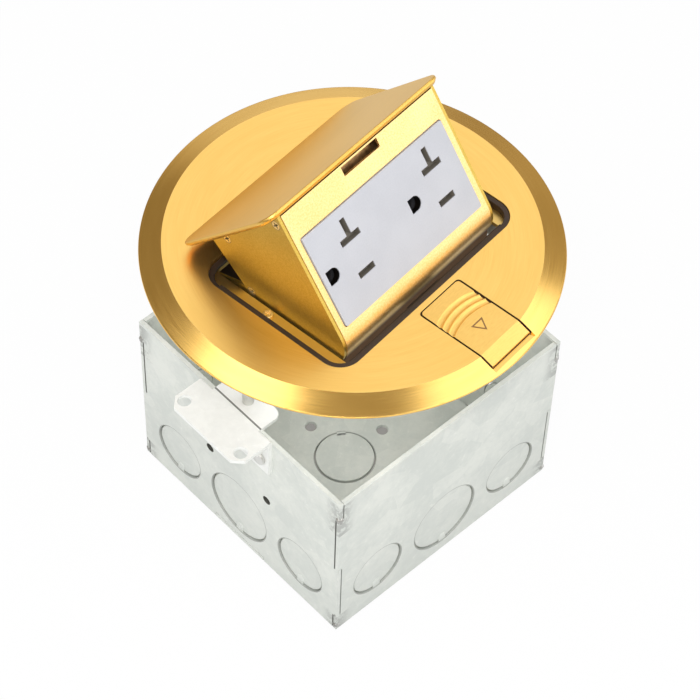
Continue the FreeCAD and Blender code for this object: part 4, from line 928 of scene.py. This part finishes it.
def shadow_sheet_part(start, half):
    top, end = root + fall * start, root + fall * SHADOW_SHEET_DROP
    return pushed([top - thin, end - thin, end + thin, top + thin], -half, half)


# The dark sheet under the roll, a painted shadow.
skirt = carved(shadow_sheet_part(0.0, SHADOW_SHEET_HALF), [shadow_sheet_part(1.0, SHADOW_SHEET_LOW_HALF)], "UNION")
skirt = softened(skirt, 0.2)
piece("roll_shadow_sheet", skirt, ON_FACE, "popup", shadow_sheet_dark)
striker = joined(slab(-12, 12, -8.6, -3.6, -4.4, -3.8), slab(-10.6, -6.4, -8.4, -3.8, -3.9, -3.0))
striker = softened(striker, 0.2)
piece("striker", striker, ON_FACE, "popup", striker_brass)

# %% [markdown]
# The side plates close the pop-up and run back as arms to the hinge. Their front edge follows the front
# plate a little inside its skin. Plate, arm and boss are drawn one by one and united, and the rod's hole
# is cut last.

# %% Side plates
SIDE_T = 1.2
SIDE_IN = 0.3
ARM_R = 4.2


def on_front(point):
    """A point (up the front plate, out of it) as (y, z) of the pop-up with the lid shut."""
    up, out = point
    lean = math.radians(FACE_LEAN)
    y = FACE_FOOT - up * math.sin(lean) - out * math.cos(lean)
    z = up * math.cos(lean) - out * math.sin(lean)
    return (y, z)


edge_line = [on_front((-2.12, -SIDE_IN))] + [on_front(roll_point(-SIDE_IN, a)) for a in turns]
edge_line += [(12.0, -36.0), (12.0, -2.0)]
pin = PIVOT.y, PIVOT.z
arm_line = [(11.0, -22.0)]
for y, z, side in ((12.0, -22.0, 1), (12.0, -34.0, -1)):
    run = math.hypot(pin[0] - y, pin[1] - z)
    sideways = side * ARM_R / run
    arm_line.append((pin[0] - sideways * (pin[1] - z), pin[1] + sideways * (pin[0] - y)))
arm_line.append((11.0, -34.0))
across = turn(90, "Y")
for side, x0 in (("left", -FACE_HALF - SIDE_T), ("right", FACE_HALF)):
    x1 = x0 + SIDE_T
    centre = Matrix.Translation((0, *pin))
    boss = moved(rod(ARM_R, x0, x1, steps=48), centre @ across)
    hole = moved(rod(1.55, x0 - 1, x1 + 1, steps=32), centre @ across)
    plate = carved(pushed(edge_line, x0, x1), [pushed(arm_line, x0, x1), boss], "UNION")
    heads = [moved(rod(1.82, x0 - 1, x1 + 1, steps=32), Matrix.Translation((0, y, z)) @ across)
             for y, z in SCREW_HEADS]
    plate = softened(carved(plate, [hole] + heads), 0.2, sharper_than=40.0)
    piece("side_" + side, plate, ON_POPUP, "popup", side_brass, ["side_plate_" + side],
          crease=30.0)
shape = softened(from_node("side_screws"), 0.16, sharper_than=40.0)
piece("side_screw_set", shape, ON_BOX, "popup", head_brass, ["side_screws"])

# %% [markdown]
# ## The twin socket
# Each outlet has a D-shaped ground hole, a wide T-shaped slot and a plain slot. The face stands a little
# proud of the front plate with softly rounded edges. The slots are cut right through, so that the shutters
# show.

# %% Socket face
SOCKET_X = 33.4
SOCKET_Y = 16.65
SOCKET_GROUNDS = (-29.1, 10.4)
BLADE_RISE = 11.9
BLADE_OFFSET = 6.2
SLOT_HALF = 1.1
GROUND_R = 2.5
face = slab(-SOCKET_X, SOCKET_X, -SOCKET_Y, SOCKET_Y, -2.6, 0.6, 0.6, steps=4)
skirt = slab(-SOCKET_X - 1.2, SOCKET_X + 1.2, -SOCKET_Y - 1.2, SOCKET_Y + 1.2, -2.6, -1.4)
face = carved(face, [skirt], "UNION")
cutters = []
for ground in SOCKET_GROUNDS:
    blades = ground + BLADE_RISE
    wide = slab(blades - 4.35, blades + 4.35, BLADE_OFFSET - SLOT_HALF, BLADE_OFFSET + SLOT_HALF, -9, 9)
    long = slab(blades - SLOT_HALF, blades + SLOT_HALF, BLADE_OFFSET, BLADE_OFFSET + 7.0, -9, 9)
    plain = slab(blades - 3.6, blades + 3.6, -BLADE_OFFSET - SLOT_HALF, -BLADE_OFFSET + SLOT_HALF, -9, 9)
    bowl = rod(GROUND_R, -9, 9, ground, 0, steps=40)
    flat = slab(ground - GROUND_R, ground, -GROUND_R, GROUND_R, -9, 9)
    cutters += [wide, long, plain, bowl, flat]
face = softened(carved(face, cutters), 0.28, steps=3)
piece("socket_face", face, ON_SOCKET, "popup", socket_nylon, ["receptacle_face"], crease=30.0)

# %% [markdown]
# ## The steel box and its brackets
# The walls and floor come from the frame, merged and with the edges eased as a press leaves them. A press
# also pushes each knock-out disc inwards a little and leaves it hanging by one tie. So each disc is
# drilled out and set back in deeper, with its tie and the round mark that the punch leaves there.

# %% Box
KO_SLIT = 0.45
KO_SET_IN = 0.55


def knock_out(radius, tie_angle):
    """Disc, tie and punch mark round the origin; outwards is +Z and the wall's outer skin is z = 0."""
    low = -SHEET - KO_SET_IN
    disc = softened(rod(radius - KO_SLIT, low, -KO_SET_IN, steps=72), 0.25, sharper_than=60.0)
    tie = slab(radius - 1.6, radius + 0.2, -1.6, 1.6, low, -KO_SET_IN * 0.4)
    mark = bmesh.new()
    bmesh.ops.create_uvsphere(mark, u_segments=20, v_segments=12, radius=1.9)
    bmesh.ops.scale(mark, vec=(1, 1, 0.28), verts=mark.verts)
    bmesh.ops.translate(mark, vec=(radius - 2.2, 0, -KO_SET_IN), verts=mark.verts)
    return moved(joined(disc, tie, mark), turn(tie_angle, "Z"))


def on_wall(facing, across, height):
    """Place of a knock-out on the wall that faces an azimuth."""
    stand = Matrix.Translation((across, -WALL, height)) @ turn(90, "X")
    return turn(facing, "Z") @ stand


spots = ((-KO_PITCH, KO_SMALL), (0.0, KO_LARGE), (KO_PITCH, KO_SMALL))
walls = {"box_body": (0, 180), "box_side_left": (-90,), "box_side_right": (90,)}
for name, facings in walls.items():
    shape = softened(from_node(name), 0.12)
    places = [(on_wall(facing, across, KO_HEIGHT), radius, -90)
              for facing in facings for across, radius in spots]
    if name == "box_body":
        places.append((turn(180, "X"), KO_SMALL, -55))
    drills = [moved(rod(radius, -3, 3, steps=72), place) for place, radius, tie in places]
    discs = [moved(knock_out(radius, tie), place) for place, radius, tie in places]
    shape = joined(carved(shape, drills), *discs)
    piece(name + "_sheet", shape, ON_BOX, "base", zinc_sheet, [name])

# %% [markdown]
# The corners are closed by small welds, ground over by hand. Each is a ball of metal, pushed out of round
# by noise, that sits half in the seam.

# %% Weld beads
beads = []
for corner_x, corner_y in ((-1, -1), (1, -1), (1, 1), (-1, 1)):
    for height, size in ((67.4, 1.3), (65.9, 1.0), (2.2, 1.3), (8.3, 0.8)):
        bead = bmesh.new()
        bmesh.ops.create_icosphere(bead, subdivisions=3, radius=size)
        for vert in bead.verts:
            vert.co *= 1.0 + 0.30 * noise.noise(vert.co * 0.9 + Vector((corner_x * 3, corner_y * 5, height)))
        middle = Vector((corner_x, corner_y, 0)) * (WALL - 0.75) + Vector((0, 0, height))
        bmesh.ops.translate(bead, vec=middle, verts=bead.verts)
        beads.append(bead)
piece("corner_welds", joined(*beads), ON_BOX, "base", weld_grey)

# %% [markdown]
# Brackets, rivets and screws have their right shape in the frame already, so they only get soft edges.
# Each row gives a node, its piece, slot and finish, and the width of its edges.

# %% Brackets and screws
ready = (
    ("bracket_left", "bracket_left_plate", "bracket_steel", zinc_bright, 0.2),
    ("bracket_right", "bracket_right_plate", "bracket_steel", zinc_bright, 0.2),
    ("bracket_rivets", "bracket_rivets_set", "zinc_screw", screw_zinc, 0.12),
    ("levelling_screws", "levelling_screws_set", "zinc_screw", screw_zinc, 0.12),
    ("cover_screws", "ledge_screws", "zinc_screw", screw_brass, 0.06),
)
for node, name, slot, finish, edge in ready:
    shape = softened(from_node(node), edge, sharper_than=40.0)
    piece(name, shape, ON_BOX, "base", finish, [node])

# %% [markdown]
# What is left keeps the frame's own mesh: rods, springs, the frame under the cover and the parts inside
# the socket. Each still gets its own finish.

# %% Finishes for the frame's own parts
kept = (
    (frame_steel, ("tilt_frame", "pivot_rod", "latch_guide", "rear_stay", "receptacle_strap")),
    (spring_wire, ("rod_clips", "lift_springs", "latch_spring", "shutter_springs")),
    (screw_zinc, ("rod_washers", "guide_screws", "latch_screw", "strap_rivets")),
    (tongue_shade_black, ("latch_tongue",)),
    (foam_seal, ("floor_seal",)),
    (green_dye, ("ground_screw", "ground_terminal_screw")),
    (socket_back, ("receptacle_body",)),
    (contact_brass, ("hot_contacts", "neutral_contacts", "ground_contacts", "terminal_screws_hot")),
    (silver_plate, ("terminal_screws_neutral",)),
    (shutter_nylon, ("shutter_left", "shutter_right")),
)
for finish, names in kept:
    for name in names:
        materials = nodes[name].data.materials
        materials.clear()
        materials.append(finish)
print("kept", sum(len(names) for finish, names in kept), "nodes with new finishes")

# %% [markdown]
# ## Light and camera
# The floor looks white to the camera, whatever light falls on it, and metal mirrors half of that glow. Under
# the box a shadow is painted into its glow, so that the slit round the floor's knock-out doesn't shine.
# SHADE_SPAN is where the painted shadow ends, as squares of millimetres from the middle.

# %% Floor
FLOOR_HALF = 1.5
SHADE_SPAN = (2100, 2500)
ground = bmesh.new()
bmesh.ops.create_grid(ground, x_segments=1, y_segments=1, size=FLOOR_HALF)
floor_mesh = bpy.data.meshes.new("floor")
ground.to_mesh(floor_mesh)
ground.free()
floor = bpy.data.objects.new("floor", floor_mesh)
floor.location.z = -0.0005
bpy.context.scene.collection.objects.link(floor)
f = Finish("floor white")
diffuse = f.node("ShaderNodeBsdfDiffuse", {}, {"Color": (0.80, 0.80, 0.80, 1.0)})
inside_shade = [1.0 - (offset * offset).between(*SHADE_SPAN) for offset in f.parts(f.place())[:2]]
clear_of_box = 1.0 - inside_shade[0] * inside_shade[1]
# Painted shadow: the glow is dark grey under the box.
glow_colour = f.mix(clear_of_box, (0.28, 0.27, 0.25), (1, 1, 1))
glow = f.node("ShaderNodeEmission", {}, {"Color": glow_colour, "Strength": 1.0})
share = f.ray("Camera") * 0.95 + f.ray("Glossy") * 0.5 + f.ray("Transmission") * 0.95
blend = f.node("ShaderNodeMixShader", {}, {0: share, 1: diffuse, 2: glow})
f.tree.links.new(blend.socket, f.tree.nodes["Material Output"].inputs["Surface"])
floor_mesh.materials.append(f.material)

# %% [markdown]
# The camera's place was fitted to known points of the object in the photograph. It is set before the
# world, because the bright parts of the sky are placed as the camera sees them.

# %% Camera place
CAMERA_AZIMUTH = -44.29
CAMERA_ELEVATION = 52.66
CAMERA_DISTANCE = 0.81508
CAMERA_ROLL = 2.15
CAMERA_TARGET = ON_COVER @ Vector((-35.21, -29.10, 0))
LENS = 133.4


def towards(azimuth, elevation):
    """Unit vector; azimuth 0 is the front of the box, and 90 its right."""
    a, e = math.radians(azimuth), math.radians(elevation)
    return Vector((math.sin(a) * math.cos(e), -math.cos(a) * math.cos(e), math.sin(e)))


# %% [markdown]
# Metal only shows what it reflects. So the sky that metal sees is dim and warm, with a few bright soft
# windows in it, each bounded in the directions right, back and high. To the camera the sky is plain white,
# and all other light from it is even.

# %% World
world = bpy.data.worlds.new("studio")
bpy.context.scene.world = world
world.use_nodes = True
world.node_tree.nodes.clear()
sky = Shader(world.node_tree)
direction = sky.node("ShaderNodeTexCoord", output=0)


def along(axis):
    return sky.node("ShaderNodeVectorMath", {"operation": "DOT_PRODUCT"}, {0: direction, 1: axis}, output=1)


def window_of(value, low, high, soft):
    return value.between(low - soft, low + soft) * (1.0 - value.between(high - soft, high + soft))


right = along(towards(CAMERA_AZIMUTH + 90, 0))
back = along(towards(CAMERA_AZIMUTH + 180, 0))
high = along((0, 0, 1))
overhead = high.between(0.0, 0.1)
from_middle = (right * right + (back - 0.62) * (back - 0.62)).root()
middle = 1.0 - from_middle.between(0.27, 0.43)
left_box = window_of(right, -0.50, -0.19, 0.04) * window_of(back, -0.32, 0.33, 0.06)
right_box = window_of(right, 0.27, 0.66, 0.05) * window_of(back, -0.32, 0.48, 0.06)
front_box = window_of(right, 0.72, 2.0, 0.08) * window_of(high, -0.1, 0.5, 0.1)
far_haze = window_of(right, -0.74, 0.1, 0.1) * back.between(0.78, 0.95)
right_haze = right.between(0.25, 0.65)
corner_haze = right.between(0.1, 0.4) * back.between(0.72, 0.9)
boxes = 0.85 * middle + 2.35 * left_box + 1.6 * right_box + 0.45 * far_haze + 0.13 * right_haze
boxes = boxes + 0.14 * corner_haze
level = 0.28 + overhead * boxes + 1.5 * front_box
by_metal = sky.ray("Glossy")
shadow_warmth = by_metal * (1.0 - level.between(0.2, 1.0))
hue = sky.mix(shadow_warmth, (1, 1, 1), (1.0, 0.84, 0.60))
even = 0.45 + 0.25 * overhead
strength = by_metal * level + (1.0 - by_metal) * even
studio = sky.node("ShaderNodeBackground", {}, {"Color": hue, "Strength": strength})
white = sky.node("ShaderNodeBackground", {}, {"Color": (1, 1, 1, 1), "Strength": 1.0})
seen = sky.ray("Camera") + sky.ray("Transmission")
chosen = sky.node("ShaderNodeMixShader", {}, {0: seen, 1: studio, 2: white})
sky.tree.links.new(chosen.socket, sky.node("ShaderNodeOutputWorld", output=None).inputs["Surface"])
print("world has", len(world.node_tree.nodes), "nodes")

# %% [markdown]
# Three large lamps fill the shadows without hard edges. A fourth, small and weak, stands in for the light
# that bounces about in the box; neither the camera nor metal sees the lamp itself.

# %% Lamps


def lamp(name, azimuth, elevation, distance, size, power):
    """Soft square lamp that looks at the middle of the object."""
    data = bpy.data.lights.new(name, "AREA")
    data.size = size
    data.energy = power
    obj = bpy.data.objects.new(name, data)
    away = towards(azimuth, elevation)
    obj.location = Vector((0, 0, 0.09)) + away * distance
    obj.rotation_euler = away.to_track_quat("Z", "Y").to_euler()
    bpy.context.scene.collection.objects.link(obj)
    return obj


lamp("front lamp", -46, 54, 1.1, 0.4, 6.5)
lamp("left lamp", -105, 40, 1.1, 0.6, 1.5)
lamp("right lamp", 25, 40, 1.1, 0.6, 1.0)
inside = lamp("lamp inside the box", 0, 90, 0.008, 0.085, 0.031)
inside.visible_camera = False
inside.visible_glossy = False
print("lamps:", len(bpy.data.lights))

# %% [markdown]
# The camera is rolled a little, as it was for the photograph, and the Standard view keeps white as white.

# %% Camera
SENSOR = 36.0
camera_data = bpy.data.cameras.new("camera")
camera_data.lens = LENS
camera_data.sensor_width = SENSOR
camera = bpy.data.objects.new("camera", camera_data)
away = towards(CAMERA_AZIMUTH, CAMERA_ELEVATION)
camera.location = CAMERA_TARGET * MM + away * CAMERA_DISTANCE
look = away.to_track_quat("Z", "Y").to_matrix().to_4x4() @ turn(CAMERA_ROLL, "Z")
camera.rotation_euler = look.to_euler()
bpy.context.scene.collection.objects.link(camera)
bpy.context.scene.camera = camera
bpy.context.scene.view_settings.view_transform = "Standard"
print("camera stands at", [round(v, 3) for v in camera.location])
